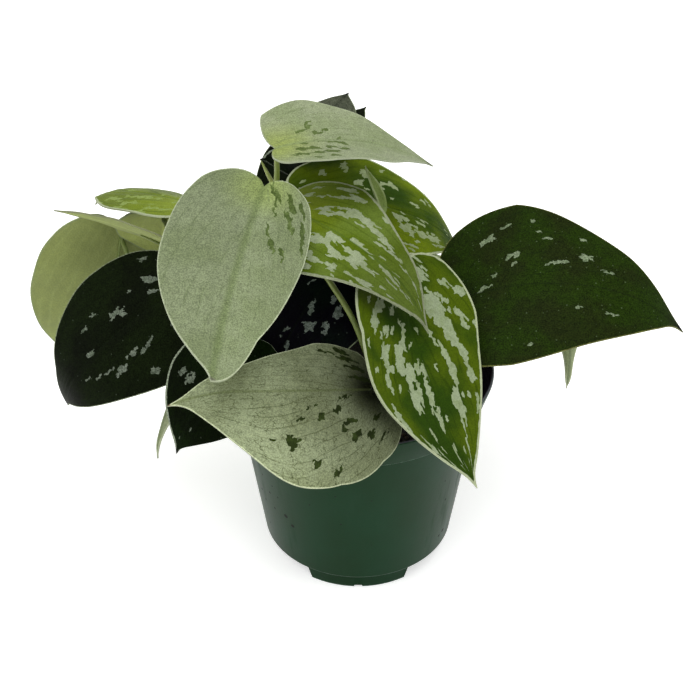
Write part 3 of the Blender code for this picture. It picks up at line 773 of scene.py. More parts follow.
# The larger marks of the leaves in front: share of the length, share of the half width (+ left), and half
# the mark's length and width in mm
BLOTS: dict[str, tuple[Blot, ...]] = {
    "leaf_right_patched": (
        (0.0, 0.38, 5, 5), (0.07, 0.7, 4, 3), (0.13, 0.9, 2.5, 2.5), (0.17, 0.42, 8, 6.5),
        (0.26, 0.5, 5, 4), (0.25, 0.77, 4.5, 2.5), (0.33, 0.55, 6, 2.5), (0.4, 0.68, 4, 2.2),
        (0.34, 0.27, 6, 0.9), (0.42, 0.4, 6.5, 2.4), (0.5, 0.46, 6, 2.2), (0.59, 0.46, 6.5, 2.4),
        (0.69, 0.44, 6, 1.3), (0.8, 0.5, 6, 1.3), (0.52, 0.8, 4.5, 2.4), (0.65, 0.88, 5, 0.8),
        (0.88, 0.55, 5, 1.2), (0.13, -0.5, 4, 4), (0.19, -0.68, 6, 2.8), (0.25, -0.5, 4, 4),
        (0.34, -0.62, 5, 2.4), (0.31, -0.88, 5, 1.0), (0.42, -0.62, 2.5, 1.2), (0.47, -0.7, 5, 1.4),
        (0.29, -0.2, 6, 1.3), (0.38, -0.38, 8, 3), (0.46, -0.3, 6, 3), (0.42, -0.12, 3, 1.3),
        (0.57, -0.36, 5.5, 4), (0.57, -0.1, 9, 1.6), (0.67, -0.1, 7, 1.7), (0.64, -0.9, 6, 1.8),
        (0.8, -0.85, 6, 1.3), (0.83, -0.12, 6, 1.5), (0.76, -0.5, 5, 0.7),
    ),
    "leaf_centre_patched": (
        (0.11, 0.6, 3.2, 2.4), (0.03, 0.56, 2.8, 2.2), (0.13, 0.86, 4, 1.2), (0.2, 0.88, 3, 1.5),
        (0.25, 0.78, 3.6, 2.1), (0.03, 0.8, 2.4, 1.2), (0.19, 0.68, 2.6, 1.2), (0.17, 0.3, 3.6, 1.6),
        (0.26, 0.5, 4, 1.8), (0.34, 0.55, 6, 2.4), (0.41, 0.57, 6, 2.6), (0.48, 0.57, 7, 2.1),
        (0.56, 0.57, 6, 2.2), (0.27, 0.35, 4.5, 1.8), (0.38, 0.43, 6, 0.7), (0.57, 0.42, 5, 1.0),
        (0.47, 0.93, 5, 0.8), (0.68, 0.55, 5, 1.3), (0.77, 0.5, 5, 1.0), (0.87, 0.35, 5, 0.6),
        (0.36, -0.14, 5, 3.6), (0.33, -0.3, 5, 2.6), (0.43, -0.2, 5, 1.0), (0.52, -0.26, 6, 3.8),
        (0.53, -0.42, 3, 2.0), (0.61, -0.38, 4.5, 2.1), (0.67, -0.12, 7, 1.9), (0.42, -0.42, 4.5, 1.7),
        (0.36, -0.66, 4.5, 2.2), (0.36, -0.83, 4, 1.8), (0.46, -0.67, 3.5, 2.0), (0.49, -0.8, 2.5, 1.3),
        (0.26, -0.42, 3.5, 2.2), (0.8, -0.05, 7, 0.8), (0.75, -0.36, 4, 1.1), (0.57, -0.74, 8, 0.8),
        (0.84, -0.3, 6, 0.6),
    ),
    "leaf_back_patched": (
        (0.48, -0.17, 4.5, 4.9), (0.53, -0.4, 4.5, 5.9), (0.62, -0.5, 4, 3.6), (0.7, -0.5, 4.5, 4.8),
        (0.61, -0.14, 3.5, 1.5), (0.6, 0.35, 2.2, 2.0), (0.08, 0.6, 3.5, 2.0), (0.19, 0.72, 2.5, 4.0),
        (0.3, 0.62, 2.5, 3.2), (0.44, 0.55, 4.0, 2.0), (0.36, 0.35, 3.0, 3.0), (0.55, -0.8, 6, 1.4),
        (0.8, 0.1, 5, 0.9),
    ),
    "leaf_rim_silver": (
        (0.49, 0.57, 3, 2.2), (0.59, 0.6, 1.3, 0.7), (0.55, 0.5, 4.2, 0.4), (0.31, 0.3, 1.6, 1.2),
        (0.22, 0.24, 2.4, 1.6), (0.17, 0.11, 3.6, 1), (0.17, 0.39, 3.9, 0.9), (0.2, 0.48, 2.1, 0.9),
        (0.14, 0.57, 2.5, 1.9), (0.05, 0.6, 2.5, 1.4), (0.0, 0.4, 2.5, 1.2), (-0.02, 0.7, 3.1, 1.1),
        (0.37, 0.77, 2.5, 1.1), (0.27, 0.88, 2.4, 1.6), (0.2, -0.82, 4.1, 1.1), (0.11, -0.86, 4.1, 1.8),
        (0.08, -0.7, 5, 1.8), (0.05, -0.5, 6.1, 1.8), (0.02, -0.25, 7.2, 2.3), (0.36, 0.18, 3.4, 0.4),
        (0.44, 0.34, 3.4, 0.3),
    ),
    "leaf_front_silver": (
        (0.04, 0.6, 4.5, 2.4), (0.1, 0.55, 2.5, 2.4), (0.15, 0.63, 2, 1.9), (0.12, 0.86, 5, 1.6),
        (0.19, 0.88, 4, 1.2), (0.02, 0.3, 4, 1.5), (-0.01, 0.14, 3, 1.2), (0.09, 0.3, 4, 1.1),
        (0.26, 0.42, 3, 1.6), (0.27, 0.6, 2.5, 1.1), (0.03, 0.82, 4, 1.4), (0.2, 0.3, 3, 0.9),
    ),
    "leaf_top_silver": (
        (0.17, 0.28, 2, 1), (0.22, 0.45, 2.2, 0.8), (0.25, 0.36, 2, 0.8), (0.26, 0.2, 2.8, 1),
        (0.31, 0.25, 1.6, 0.8), (0.16, -0.06, 3, 1.4), (0.27, -0.06, 3, 1.2), (0.38, 0.05, 2.2, 1.2),
        (0.37, -0.15, 2.4, 1.3), (0.12, -0.3, 3.6, 2.4), (0.2, -0.32, 2.8, 2.2), (0.28, -0.3, 2.4, 1.8),
        (0.1, -0.55, 3.4, 2.2), (0.19, -0.55, 3, 2.4), (0.28, -0.55, 2.6, 2), (0.35, -0.42, 2.2, 1.6),
        (0.17, -0.78, 3, 1.8), (0.28, -0.8, 2.4, 1.6),
    ),
    "leaf_right_dark": (
        (0.14, 0.62, 3.4, 2.2), (0.24, 0.36, 3.2, 1.3), (0.24, 0.26, 1.7, 0.8), (0.42, 0.28, 5.5, 1.1),
        (0.54, 0.46, 3.6, 2.4), (0.63, 0.33, 2.8, 1.5), (0.65, -0.51, 3.9, 1), (0.5, -0.38, 2.4, 0.9),
        (0.32, 0.8, 1.3, 0.7), (0.34, 0.67, 2.7, 0.5), (0.2, 0.73, 2.1, 0.7), (0.38, 0.6, 2.5, 0.6),
        (0.53, 0.76, 2.7, 0.8), (0.16, 0.15, 1.9, 0.6), (0.12, 0.02, 2.7, 0.5), (0.32, -0.8, 2.2, 0.5),
    ),
    "leaf_left_dark": (
        (0.03, -0.82, 2.2, 1.7), (0.06, -0.43, 3.8, 2.6), (0.08, -0.23, 2.4, 1.4), (0.17, -0.42, 3.2, 0.6),
        (0.27, -0.24, 5.5, 2.3), (0.25, -0.42, 1.5, 0.7), (0.4, -0.48, 2.4, 1.1), (0.48, -0.42, 2.8, 1.0),
        (0.54, -0.07, 3.2, 1.5), (0.33, 0.36, 4.2, 1.0), (0.25, 0.4, 4.6, 1.2), (0.43, 0.5, 3.8, 1.7),
        (0.29, 0.76, 2.8, 2.3), (0.57, 0.4, 2.4, 1.3), (0.49, 0.42, 2.6, 0.6), (0.64, 0.3, 2, 1.0),
        (0.1, 0.36, 3, 0.9),
    ),
    "leaf_centre_dark": (
        (0.35, 0.06, 3.4, 2.2), (0.24, 0.27, 3, 1.4), (0.31, 0.47, 3, 2.6), (0.46, 0.22, 3.3, 3.2),
        (0.42, 0.46, 2.8, 2.6), (0.55, -0.12, 2.8, 0.7), (0.63, 0.06, 3.2, 1.4), (0.2, -0.2, 2.5, 0.8),
    ),
    "leaf_low_dark": (
        (0.43, -0.68, 2.3, 1.8), (0.45, -0.42, 3.2, 2.8), (0.75, 0.2, 1.1, 0.6), (0.86, -0.1, 0.8, 0.5),
    ),
}


class Materials:
    """Makes the materials from the shared effects."""

    def __init__(self, effects: Effects) -> None:
        """Keep the effects that the materials are built from."""
        self.effects = effects

    @staticmethod
    def _start(name: str) -> tuple[bpy.types.Material, Sheet, Socket]:
        """Return a new material with its sheet and its object coordinates.

        Args:
            name: The material's name.

        Returns:
            The material, its sheet and the coordinates.
        """
        made = bpy.data.materials.new(name)
        made.use_nodes = True
        sheet = Sheet(made.node_tree)
        return made, sheet, sheet.place()

    @staticmethod
    def _close(made: bpy.types.Material, colour: object, rough: object, specular: float,
               relief: Socket | None = None, depth: float = 0.0) -> bpy.types.Material:
        """Feed a material's own shader.

        Args:
            made: The material.
            colour: The base colour.
            rough: The roughness.
            specular: The specular level.
            relief: The height of the surface's relief, where it has one.
            depth: The height in mm of a relief of one.

        Returns:
            The same material.
        """
        sheet = Sheet(made.node_tree)
        links = {"Base Color": colour, "Roughness": rough, "Specular IOR Level": specular}
        if relief is not None:
            bump = sheet.node("Bump", {"Height": relief, "Distance": depth * MM, "Strength": 1.0})
            links["Normal"] = bump.outputs[0]
        sheet.feed(made.node_tree.nodes["Principled BSDF"], links)
        return made

    def upper(self, leaf: "Leaf") -> bpy.types.Material:
        """Make the material of one blade's upper face.

        Args:
            leaf: The leaf, whose finish and size the pattern takes.

        Returns:
            The material.
        """
        finish, marks, effects = leaf.finish, leaf.finish.marks, self.effects
        made, sheet, place = self._start(leaf.name + "_upper")
        blade, streak, edge = (sheet.flat_map(name) for name in MAPS)
        shift = SEED_STEP * leaf.seed

        midrib_away = sheet.part(edge, 1)
        outer = sheet.rise(midrib_away, 0.0, 0.36 * leaf.width)
        # Painted shade: midrib_shade shifts the cloudy mix towards the ground colour along the midrib and
        # away from it further out.
        cloudy = sheet.plus(sheet.noise(place, finish.cloud_scale, 3.0),
                            sheet.blend(outer, -finish.midrib_shade, finish.midrib_shade))
        colour = sheet.mix(sheet.rise(cloudy, 0.36, 0.64), finish.ground, finish.cloud)
        # The base colour near the joint: the leaf's own tint, and on some finishes painted shade (a dark
        # base) and on others painted light (a bright one).
        from_joint = sheet.vector("LENGTH", blade)
        colour = sheet.mix(sheet.fall(from_joint, 1.0, finish.base_reach * leaf.length), colour, finish.base)
        lines = sheet.effect(effects.veins, Streak=streak, Spacing=finish.vein_spacing, Shift=shift,
                             Width=finish.vein_width)[0]
        net = sheet.effect(effects.net, Streak=streak, Shift=shift)[0]
        for mask, share in ((lines, finish.vein_share), (net, finish.net_share)):
            colour = sheet.mix(sheet.times(mask, share), colour, finish.vein)

        cells = sheet.effect(effects.cells, Streak=streak, Shift=shift, Length=marks.length,
                             Width=marks.width)
        where = {name: cells[name] for name in ("Along", "Across", "Chance")}
        spots = sheet.effect(effects.clumps, Shift=shift, Clump=marks.clump, Cut=marks.cut, Lone=marks.lone,
                             **where)[0]
        if leaf.blots:
            spots = sheet.math("MAXIMUM", spots, self._blots(sheet, leaf, where))
        fine = sheet.effect(effects.specks, Place=place, Spacing=1.6, Share=finish.speck_share, Size=0.26)[0]
        colour = sheet.mix(sheet.times(fine, 0.4), colour, marks.inner)
        dappled = sheet.rise(sheet.noise(place, 300.0, 3.0), 0.4, 0.75)
        mark_colour = sheet.mix(dappled, marks.colour, marks.inner)
        colour = sheet.mix(sheet.times(spots, marks.share), colour, mark_colour)

        rib = sheet.fall(midrib_away, 0.2, finish.midrib_width)
        colour = sheet.mix(sheet.times(rib, finish.midrib_share), colour, finish.midrib)
        # The pale margin, narrowed by half_margin_shade on a half in shade as painted shade; it is partly the
        # leaf's own pale edge and partly painted highlight.
        on_left = sheet.rise(sheet.part(blade, 1), -0.06 * leaf.width, 0.06 * leaf.width)
        left_margin, right_margin = (finish.margin_width * share for share in finish.half_margin_shade)
        band = sheet.effect(effects.margin, Edge=edge, Place=place,
                            Width=sheet.blend(on_left, right_margin, left_margin))[0]
        colour = sheet.mix(sheet.times(band, sheet.rise(from_joint, 3.0, 9.0)), colour, finish.margin)
        to_tip = sheet.vector("DISTANCE", blade, (leaf.length, 0.0, 0.0))
        colour = sheet.mix(sheet.fall(to_tip, 0.4 * finish.tip_length, finish.tip_length), colour, finish.tip)

        grain = sheet.effect(effects.grain, Place=place, Scale=1.0)
        tone = sheet.blend(grain["Tone"], 1 - finish.grain, 1 + finish.grain)
        # Painted light: the tone is raised or lowered towards the tip and on each half, by how light falls
        # there.
        outward = sheet.rise(from_joint, 0.2 * leaf.length, 0.8 * leaf.length)
        tone = sheet.times(tone, sheet.blend(outward, 1.0, finish.tip_painted_light))
        tone = sheet.times(tone, sheet.blend(on_left, *reversed(finish.half_painted_light)))
        relief = sheet.plus(sheet.times(grain["Relief"], 0.6), sheet.times(spots, 0.5))
        return self._close(made, sheet.toned(colour, tone),
                           sheet.blend(spots, finish.roughness, finish.mark_roughness), finish.specular,
                           sheet.minus(relief, sheet.times(net, 0.4)), 0.05)

    @staticmethod
    def _blots(sheet: Sheet, leaf: "Leaf", where: dict[str, Socket]) -> Socket:
        """Fill the cells whose middles lie in one of the leaf's own larger marks.

        Args:
            sheet: The material's sheet.
            leaf: The leaf whose marks they are.
            where: Each cell's middle and its own number, by name.

        Returns:
            A mask.
        """
        middle = sheet.join(where["Along"], where["Across"])
        nearest = None
        for along, across, reach, spread in leaf.blots:
            offset = sheet.vector("SUBTRACT", middle, leaf.streak_point(along, across))
            away = sheet.vector("LENGTH", sheet.vector("MULTIPLY", offset, (1 / reach, 1 / spread, 0.0)))
            nearest = away if nearest is None else sheet.math("MINIMUM", nearest, away)
        return sheet.math("LESS_THAN", sheet.plus(nearest, sheet.times(where["Chance"], 0.5)), 1.04)

    def under(self, leaf: "Leaf") -> bpy.types.Material:
        """Make the material of one blade's lower face: plain, matt, with its veins a little paler.

        Args:
            leaf: The leaf, whose finish the pattern takes.

        Returns:
            The material.
        """
        finish, effects = leaf.finish, self.effects
        made, sheet, place = self._start(leaf.name + "_under")
        streak, edge = sheet.flat_map("streak"), sheet.flat_map("edge")
        lines = sheet.effect(effects.veins, Streak=streak, Spacing=VEIN_SPACING, Shift=SEED_STEP * leaf.seed,
                             Width=0.2)[0]
        paler = sheet.math("MAXIMUM", sheet.times(lines, 0.45), sheet.fall(sheet.part(edge, 1), 0.5, 1.3))
        soft = sheet.rise(sheet.noise(place, 60.0), 0.3, 0.7)
        ground = sheet.mix(soft, finish.under, held_back(finish.under, 0.82))
        colour = sheet.mix(paler, ground, finish.under_vein)
        band = sheet.effect(effects.margin, Edge=edge, Place=place, Width=0.7)[0]
        colour = sheet.mix(band, colour, finish.margin)
        grain = sheet.effect(effects.grain, Place=place, Scale=0.8)
        return self._close(made, sheet.toned(colour, sheet.blend(grain["Tone"], 0.86, 1.14)),
                           sheet.blend(grain["Tone"], 0.5, 0.75), 0.25, grain["Relief"], 0.04)

    def rim(self, leaf: "Leaf") -> bpy.types.Material:
        """Make the material of a blade's thin edge.

        Args:
            leaf: The leaf, whose finish the edge takes.

        Returns:
            The material.
        """
        finish = leaf.finish
        made, sheet, place = self._start(leaf.name + "_rim")
        browned = sheet.rise(sheet.noise(place, 120.0, 3.0), 0.5, 0.75)
        edge = sheet.mix(browned, finish.margin, held_back(finish.margin, 0.7))
        # Painted shade: on a half whose half_margin_shade is below one, the edge is mixed towards the ground
        # colour instead of the pale margin.
        left, right = (min(1.0, share) for share in finish.half_margin_shade)
        on_left = sheet.math("GREATER_THAN", sheet.part(sheet.flat_map("blade"), 1), 0.0)
        return self._close(made, sheet.mix(sheet.blend(on_left, right, left), finish.ground, edge), 0.6, 0.25)

    def stem(self) -> bpy.types.Material:
        """Make the fleshy green of vines and petioles, brown near the soil, with painted light and shade.

        Returns:
            The material.
        """
        made, sheet, place = self._start("stem_green")
        height = sheet.part(place, 2)
        soft = sheet.rise(sheet.noise(place, 90.0, 3.0), 0.35, 0.65)
        pale = sheet.mix(soft, paint(176, 186, 112), paint(150, 166, 82))
        deep = sheet.mix(soft, paint(122, 142, 56), paint(100, 120, 44))
        # Painted light: the green is paler higher up the stems and petioles.
        green = sheet.mix(sheet.rise(height, 105 * MM, 160 * MM), deep, pale)
        colour = sheet.mix(sheet.fall(height, 78 * MM, 98 * MM), green, paint(92, 82, 50))
        # Painted shade: near-black green around the rim leaf's petiole, where its own blade shades it.
        painted_shade_middle = tuple(c * MM for c in PAINTED_SHADE_PLACE)
        clear_of_painted_shade = sheet.rise(sheet.vector("DISTANCE", place, painted_shade_middle), 12 * MM, 20 * MM)
        colour = sheet.mix(clear_of_painted_shade, paint(34, 38, 18), colour)
        fleck = sheet.effect(self.effects.specks, Place=place, Spacing=1.4, Share=0.25, Size=0.22)[0]
        colour = sheet.mix(sheet.times(fleck, 0.5), colour, paint(186, 196, 150))
        grain = sheet.effect(self.effects.grain, Place=place, Scale=0.7)
        return self._close(made, colour, sheet.blend(grain["Tone"], 0.3, 0.55), 0.4, grain["Relief"], 0.05)

    def pot(self, pot: "Pot") -> bpy.types.Material:
        """Make the moulded green plastic, with faint pale streaks and a few specks of soil.

        Its edges carry pale lines, partly scuffs and partly painted highlight; the inside of the band is
        painted shade, and the top of the lip a painted highlight.

        Args:
            pot: The pot, whose sizes the pattern takes.

        Returns:
            The material.
        """
        made, sheet, place = self._start("pot_plastic")
        height = sheet.part(place, 2)
        cloud = sheet.rise(sheet.noise(place, 34.0, 3.0), 0.3, 0.7)
        colour = sheet.mix(cloud, paint(0, 49, 13), paint(0, 55, 24))
        # Faint pale grey streaks running up the wall, which also make the plastic rougher.
        stretched = sheet.node("Mapping", {0: place, 3: (1.0, 1.0, 0.12)}).outputs[0]
        pale_streaks = sheet.rise(sheet.noise(stretched, 210.0, 4.0), 0.5, 0.85)
        colour = sheet.mix(sheet.times(pale_streaks, 0.09), colour, paint(90, 108, 96))
        # Pale lines along the foot, the wall foot, the band foot and the lip: painted highlight on these
        # ledges, and scuffs.
        highlight_and_wear = None
        ragged = sheet.times(sheet.minus(sheet.noise(place, 500.0), 0.5), 1.2 * MM)
        for edge in pot.highlit_and_worn_heights():
            gap = sheet.math("ABSOLUTE", sheet.minus(sheet.plus(height, ragged), edge * MM))
            line = sheet.fall(gap, 0.1 * MM, 0.5 * MM)
            highlight_and_wear = line if highlight_and_wear is None else sheet.math("MAXIMUM", highlight_and_wear, line)
        colour = sheet.mix(sheet.times(highlight_and_wear, 0.45), colour, paint(96, 130, 108))
        dirt = sheet.effect(self.effects.specks, Place=place, Spacing=5.0, Share=0.16, Size=0.32)[0]
        for direction, level, size in POT_SPECKS:
            apart = sheet.vector("DISTANCE", place, pot.wall_point(direction, level))
            dirt = sheet.math("MAXIMUM", dirt, sheet.math("LESS_THAN", apart, size * MM))
        colour = sheet.mix(dirt, colour, paint(14, 14, 10))
        # Painted shade: the inner face of the band, above the wall's top, is painted near-black purple.
        from_axis = sheet.vector("LENGTH", sheet.vector("MULTIPLY", place, (1.0, 1.0, 0.0)))
        above = sheet.minus(height, pot.wall_top * MM)
        flare = (pot.rim_radius - pot.band_foot_radius) / pot.band_height
        skin = sheet.plus(sheet.times(above, flare), (pot.band_foot_radius - 0.6 * pot.thickness) * MM)
        inside = sheet.times(sheet.math("LESS_THAN", from_axis, skin), sheet.math("GREATER_THAN", above, 0.0))
        colour = sheet.mix(inside, colour, paint(34, 28, 40))
        # Painted highlight: the top of the lip is painted pale grey.
        lip = sheet.math("GREATER_THAN", height, (pot.height - 0.35) * MM)
        colour = sheet.mix(sheet.times(lip, 0.8), colour, paint(96, 92, 104))
        fine = sheet.noise(place, 900.0)
        rough = sheet.blend(sheet.math("MAXIMUM", pale_streaks, dirt), 0.34, 0.55)
        rough = sheet.plus(rough, sheet.times(fine, 0.06))
        return self._close(made, colour, rough, 0.08, sheet.plus(sheet.times(fine, 0.3), dirt), 0.06)

    def soil(self) -> bpy.types.Material:
        """Make the damp potting mix: dark peat with paler fibres, each crumb in its own tone.

        Returns:
            The material.
        """
        made, sheet, place = self._start("potting_mix")
        tone = sheet.node("Attribute", attribute_name="crumb_tone").outputs["Fac"]
        colour = sheet.mix(tone, paint(24, 19, 16), paint(64, 48, 35))
        patch = sheet.rise(sheet.noise(place, 260.0, 4.0), 0.35, 0.7)
        colour = sheet.mix(patch, colour, paint(20, 16, 14))
        fibre = sheet.node("Mapping", {0: place, 3: (1.0, 6.0, 1.0)}).outputs[0]
        pale = sheet.rise(sheet.noise(fibre, 420.0), 0.66, 0.74)
        colour = sheet.mix(sheet.times(pale, 0.6), colour, paint(112, 88, 62))
        rough = sheet.blend(patch, 0.92, 0.6)
        return self._close(made, colour, rough, 0.3, sheet.noise(place, 700.0, 5.0), 0.5)

    def floor(self, glow: float) -> bpy.types.Material:
        """Make the studio's pale floor, faintly uneven and lit from within like a light table.

        Args:
            glow: How strongly the floor is lit from within.

        Returns:
            The material.
        """
        made, sheet, place = self._start("floor_white")
        colour = sheet.mix(sheet.noise(place, 3.0), (0.92, 0.92, 0.92, 1), (0.95, 0.95, 0.95, 1))
        shader = made.node_tree.nodes["Principled BSDF"]
        sheet.feed(shader, {"Emission Color": (1.0, 1.0, 1.0, 1.0), "Emission Strength": glow})
        return self._close(made, colour, 0.9, 0.1)


# The plant, with its sizes in mm

SOIL_TOP = 77.0
# The middle of the painted shade on the rim leaf's petiole, where its own blade shades it
PAINTED_SHADE_PLACE = (4, -42, 107)
# Crumbs of soil stuck to the pot's wall: direction in degrees, height and size
POT_SPECKS = (
    (-153, 40, 0.6), (-150, 36, 0.5), (-143, 44, 0.6), (-141, 36, 0.5), (-132, 36, 1.0), (-128, 32, 0.9),
    (-136, 45, 0.45), (-31, 18, 0.9), (-35, 17, 0.65), (-115, 50, 0.35), (-37, 40, 0.55), (-99, 42, 0.35),
    (-152, 21, 0.5), (-147, 52, 0.5), (-139, 50, 0.4),
)

# A blade's own UV maps: along and across it, along and across its veins, away from its edge and midrib
MAPS = ("blade", "streak", "edge")
# How far the vein coordinates of a blade's two sides are set apart from its midrib
SIDE_SHIFT = 300.0
# How far each leaf's patterns are shifted from the last leaf's
SEED_STEP = 173.0

# A blade's grid, and how much finer it is at the midrib and the edge than between them
BLADE_ROWS = 78
BLADE_COLUMNS = 20
COLUMN_EASE = 0.4
# A blade's form: where it is widest and where its tip starts to curl, in shares of its length
WIDEST = 0.25
TIP_START = 0.7
CUP_POWER = 1.7
BLADE_THICKNESS = 0.6
# Side veins: how evenly they leave the midrib, how they slant, how far apart they are, and where the
# guide point that bends them lies, in shares of their run along and of their end across
VEIN_LEAN = 0.12
VEIN_SLANT = 0.25
VEIN_SPACING = 5.2
VEIN_GUIDE = (0.35, 0.6)
# Relief: the groove over the midrib, the quilting between side veins, and the ripple of the margin,
# which is at its full depth on a blade of the ripple's width
GROOVE_DEPTH = 0.38
GROOVE_WIDTH = 1.1
QUILT_DEPTH = 0.1
RIPPLE_DEPTH = 0.4
RIPPLE_WIDTH = 55
# The ripple's least number of turns with what a kind of leaf adds, and its shift by leaf and by side
RIPPLE_TURNS = (2.2, 0.5)
RIPPLE_SHIFT = (0.37, 0.21)

# Half of a heart-shaped blade, from the sinus at the petiole to the tip: along, across
HALF_OUTLINE = (
    (0.0, 0.0), (-0.050, 0.10), (-0.088, 0.27), (-0.088, 0.48), (-0.035, 0.74), (0.09, 0.94), (0.25, 1.0),
    (0.42, 0.945), (0.58, 0.79), (0.73, 0.55), (0.85, 0.29), (0.92, 0.115), (0.96, 0.042), (1.0, 0.0),
)
OUTLINE_SPANS = len(HALF_OUTLINE) - 1
LOBE_SPANS = 3


@dataclass(frozen=True)
class Leaf:
    """One blade with its petiole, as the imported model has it; side pairs are (left, right)."""

    name: str
    vine: str
    node: int
    finish: BladeFinish
    joint: Point
    heading: float
    pitch: float
    roll: float
    length: float
    width: float
    arch: float = 5.0
    cup: tuple[float, float] = (-2.0, -2.0)
    sweep: float = 0.0
    curl: float = 1.5
    lean: float = 0.0
    taper: tuple[float, float] = (0.0, 0.0)
    lobe: tuple[float, float] = (1.0, 1.0)
    rake: float = 0.55
    blunt: tuple[float, float] = (0.0, 0.0)
    via: tuple[Point, ...] = ()
    seed: int = 0

    @property
    def blots(self) -> tuple[Blot, ...]:
        """Return the leaf's own larger marks."""
        return BLOTS.get(self.name, ())

    def streak_point(self, along: float, across: float) -> Point:
        """Find a blade point in the coordinates along and across the veins.

        Args:
            along: Share of the length from the joint.
            across: Share of the half width, above 0 on the left.

        Returns:
            The coordinates in mm.
        """
        run = along * self.length
        aside = abs(across) * self.width / 2 - VEIN_SLANT * run + SIDE_SHIFT
        return (run, math.copysign(aside, across), 0.0)

    def axes(self) -> tuple[np.ndarray, np.ndarray, np.ndarray]:
        """Point along to the tip, across to the left, and out of the upper face.

        Returns:
            Three unit vectors.
        """
        heading, pitch, roll = (math.radians(a) for a in (self.heading, self.pitch, self.roll))
        flat = np.array([math.cos(heading), math.sin(heading), 0.0])
        along = flat * math.cos(pitch) - np.array([0, 0, math.sin(pitch)])
        level_out = flat * math.sin(pitch) + np.array([0, 0, math.cos(pitch)])
        level_left = np.cross(level_out, along)
        out = level_out * math.cos(roll) + level_left * math.sin(roll)
        left = level_left * math.cos(roll) - level_out * math.sin(roll)
        return along, left, out

    def plan(self, a: np.ndarray, b: np.ndarray) -> tuple[np.ndarray, np.ndarray]:
        """Lay blade points out flat.

        Args:
            a: Shares of the length from the joint, 1 at the tip.
            b: Shares of half the width, above 0 on the left.

        Returns:
            The lobed shares along, and the distances across in mm.
        """
        left = b > 0
        half = self.width / 2 * (1 + self.lean * np.sign(b))
        narrowing = np.sin(math.pi * np.clip((a - WIDEST) / (1 - WIDEST), 0, 1))
        half = half * (1 - np.where(left, *self.taper) * narrowing)
        along = np.where(a < 0, a * np.where(left, *self.lobe), a)
        return along, b * half

    def surface(self, a: np.ndarray, b: np.ndarray, relief: np.ndarray | float = 0.0) -> np.ndarray:
        """Place blade points in space.

        Args:
            a: Shares of the length from the joint.
            b: Shares of half the width, above 0 on the left.
            relief: How far each is raised, in mm.

        Returns:
            One place for each, in mm.
        """
        a, b = np.atleast_1d(a).astype(float), np.atleast_1d(b).astype(float)
        along, left, out = self.axes()
        share, aside = self.plan(a, b)
        bow = 4 * share * (1 - share)
        height = self.arch * bow + np.where(b > 0, *self.cup) * np.abs(b) ** CUP_POWER
        height = height - self.curl * np.clip((share - TIP_START) / (1 - TIP_START), 0, None) ** 2 + relief
        aside = aside + self.sweep * bow
        return (np.array(self.joint, float) + np.outer(share * self.length, along) + np.outer(aside, left)
                + np.outer(height, out))

    def petiole(self, start: np.ndarray) -> tuple[np.ndarray, np.ndarray]:
        """Route the petiole from its vine node to the blade and on into the midrib.

        Args:
            start: The vine node, in mm.

        Returns:
            The points and the radius at each.
        """
        along, _, out = self.axes()
        joint = np.array(self.joint, float)
        arrive = unit(along * self.rake + out * PETIOLE_RISE)
        end = joint + along * PETIOLE_SEAT[0] - out * PETIOLE_SEAT[1]
        line = smooth_line([start, *self.via, end - arrive * PETIOLE_LEAD, end], PETIOLE_STEPS)
        share = np.linspace(0, 1, len(line))
        radii = PETIOLE_RADIUS + (PETIOLE_TIP_RADIUS - PETIOLE_RADIUS) * share
        radii = radii + SHEATH_SWELL * np.exp(-(share / SHEATH_REACH) ** 2)
        radii = radii + KNEE_SWELL * np.exp(-((share - KNEE_PLACE) / KNEE_REACH) ** 2)
        runs, ribs = np.array(RIB_RUNS), np.array(RIB_RADII)
        beside = np.full(len(runs), NEAR_MIDRIB)
        rib = self.surface(runs, beside) - np.outer(ribs + GROOVE_DEPTH + RIB_COVER, out)
        return np.vstack([line, rib]), np.concatenate([radii, ribs])

    def build(self) -> bpy.types.Object:
        """Shape a grid into the blade: its rows follow the side veins, its poles are joint and tip.

        Returns:
            The blade, with its UV maps and its thickness.
        """
        deselect_all()
        bpy.ops.mesh.primitive_grid_add(x_subdivisions=2 * BLADE_COLUMNS, y_subdivisions=BLADE_ROWS, size=2)
        blade = bpy.context.object
        mesh = blade.data
        flat = np.empty(3 * len(mesh.vertices))
        mesh.vertices.foreach_get("co", flat)
        flat = flat.reshape(-1, 3)
        side = -np.where(flat[:, 0] > 0, 1.0, -1.0)
        across, row = np.abs(flat[:, 0]), (flat[:, 1] + 1) / 2
        eased = COLUMN_EASE * (1 - np.cos(math.pi * across)) / 2
        across = (1 - COLUMN_EASE) * across + eased

        outline = smooth_line(HALF_OUTLINE, BLADE_ROWS)
        rows = np.linspace(0, 1, BLADE_ROWS + 1)
        end_a, end_b = (np.interp(row, rows, outline[:, axis]) for axis in (0, 1))
        start = VEIN_LEAN * row + (1 - VEIN_LEAN) * row ** 4
        near, mid, far = (1 - across) ** 2, 2 * across * (1 - across), across ** 2
        a = start * near + (start + VEIN_GUIDE[0] * (end_a - start)) * mid + end_a * far
        b = side * (VEIN_GUIDE[1] * end_b * mid + end_b * far)

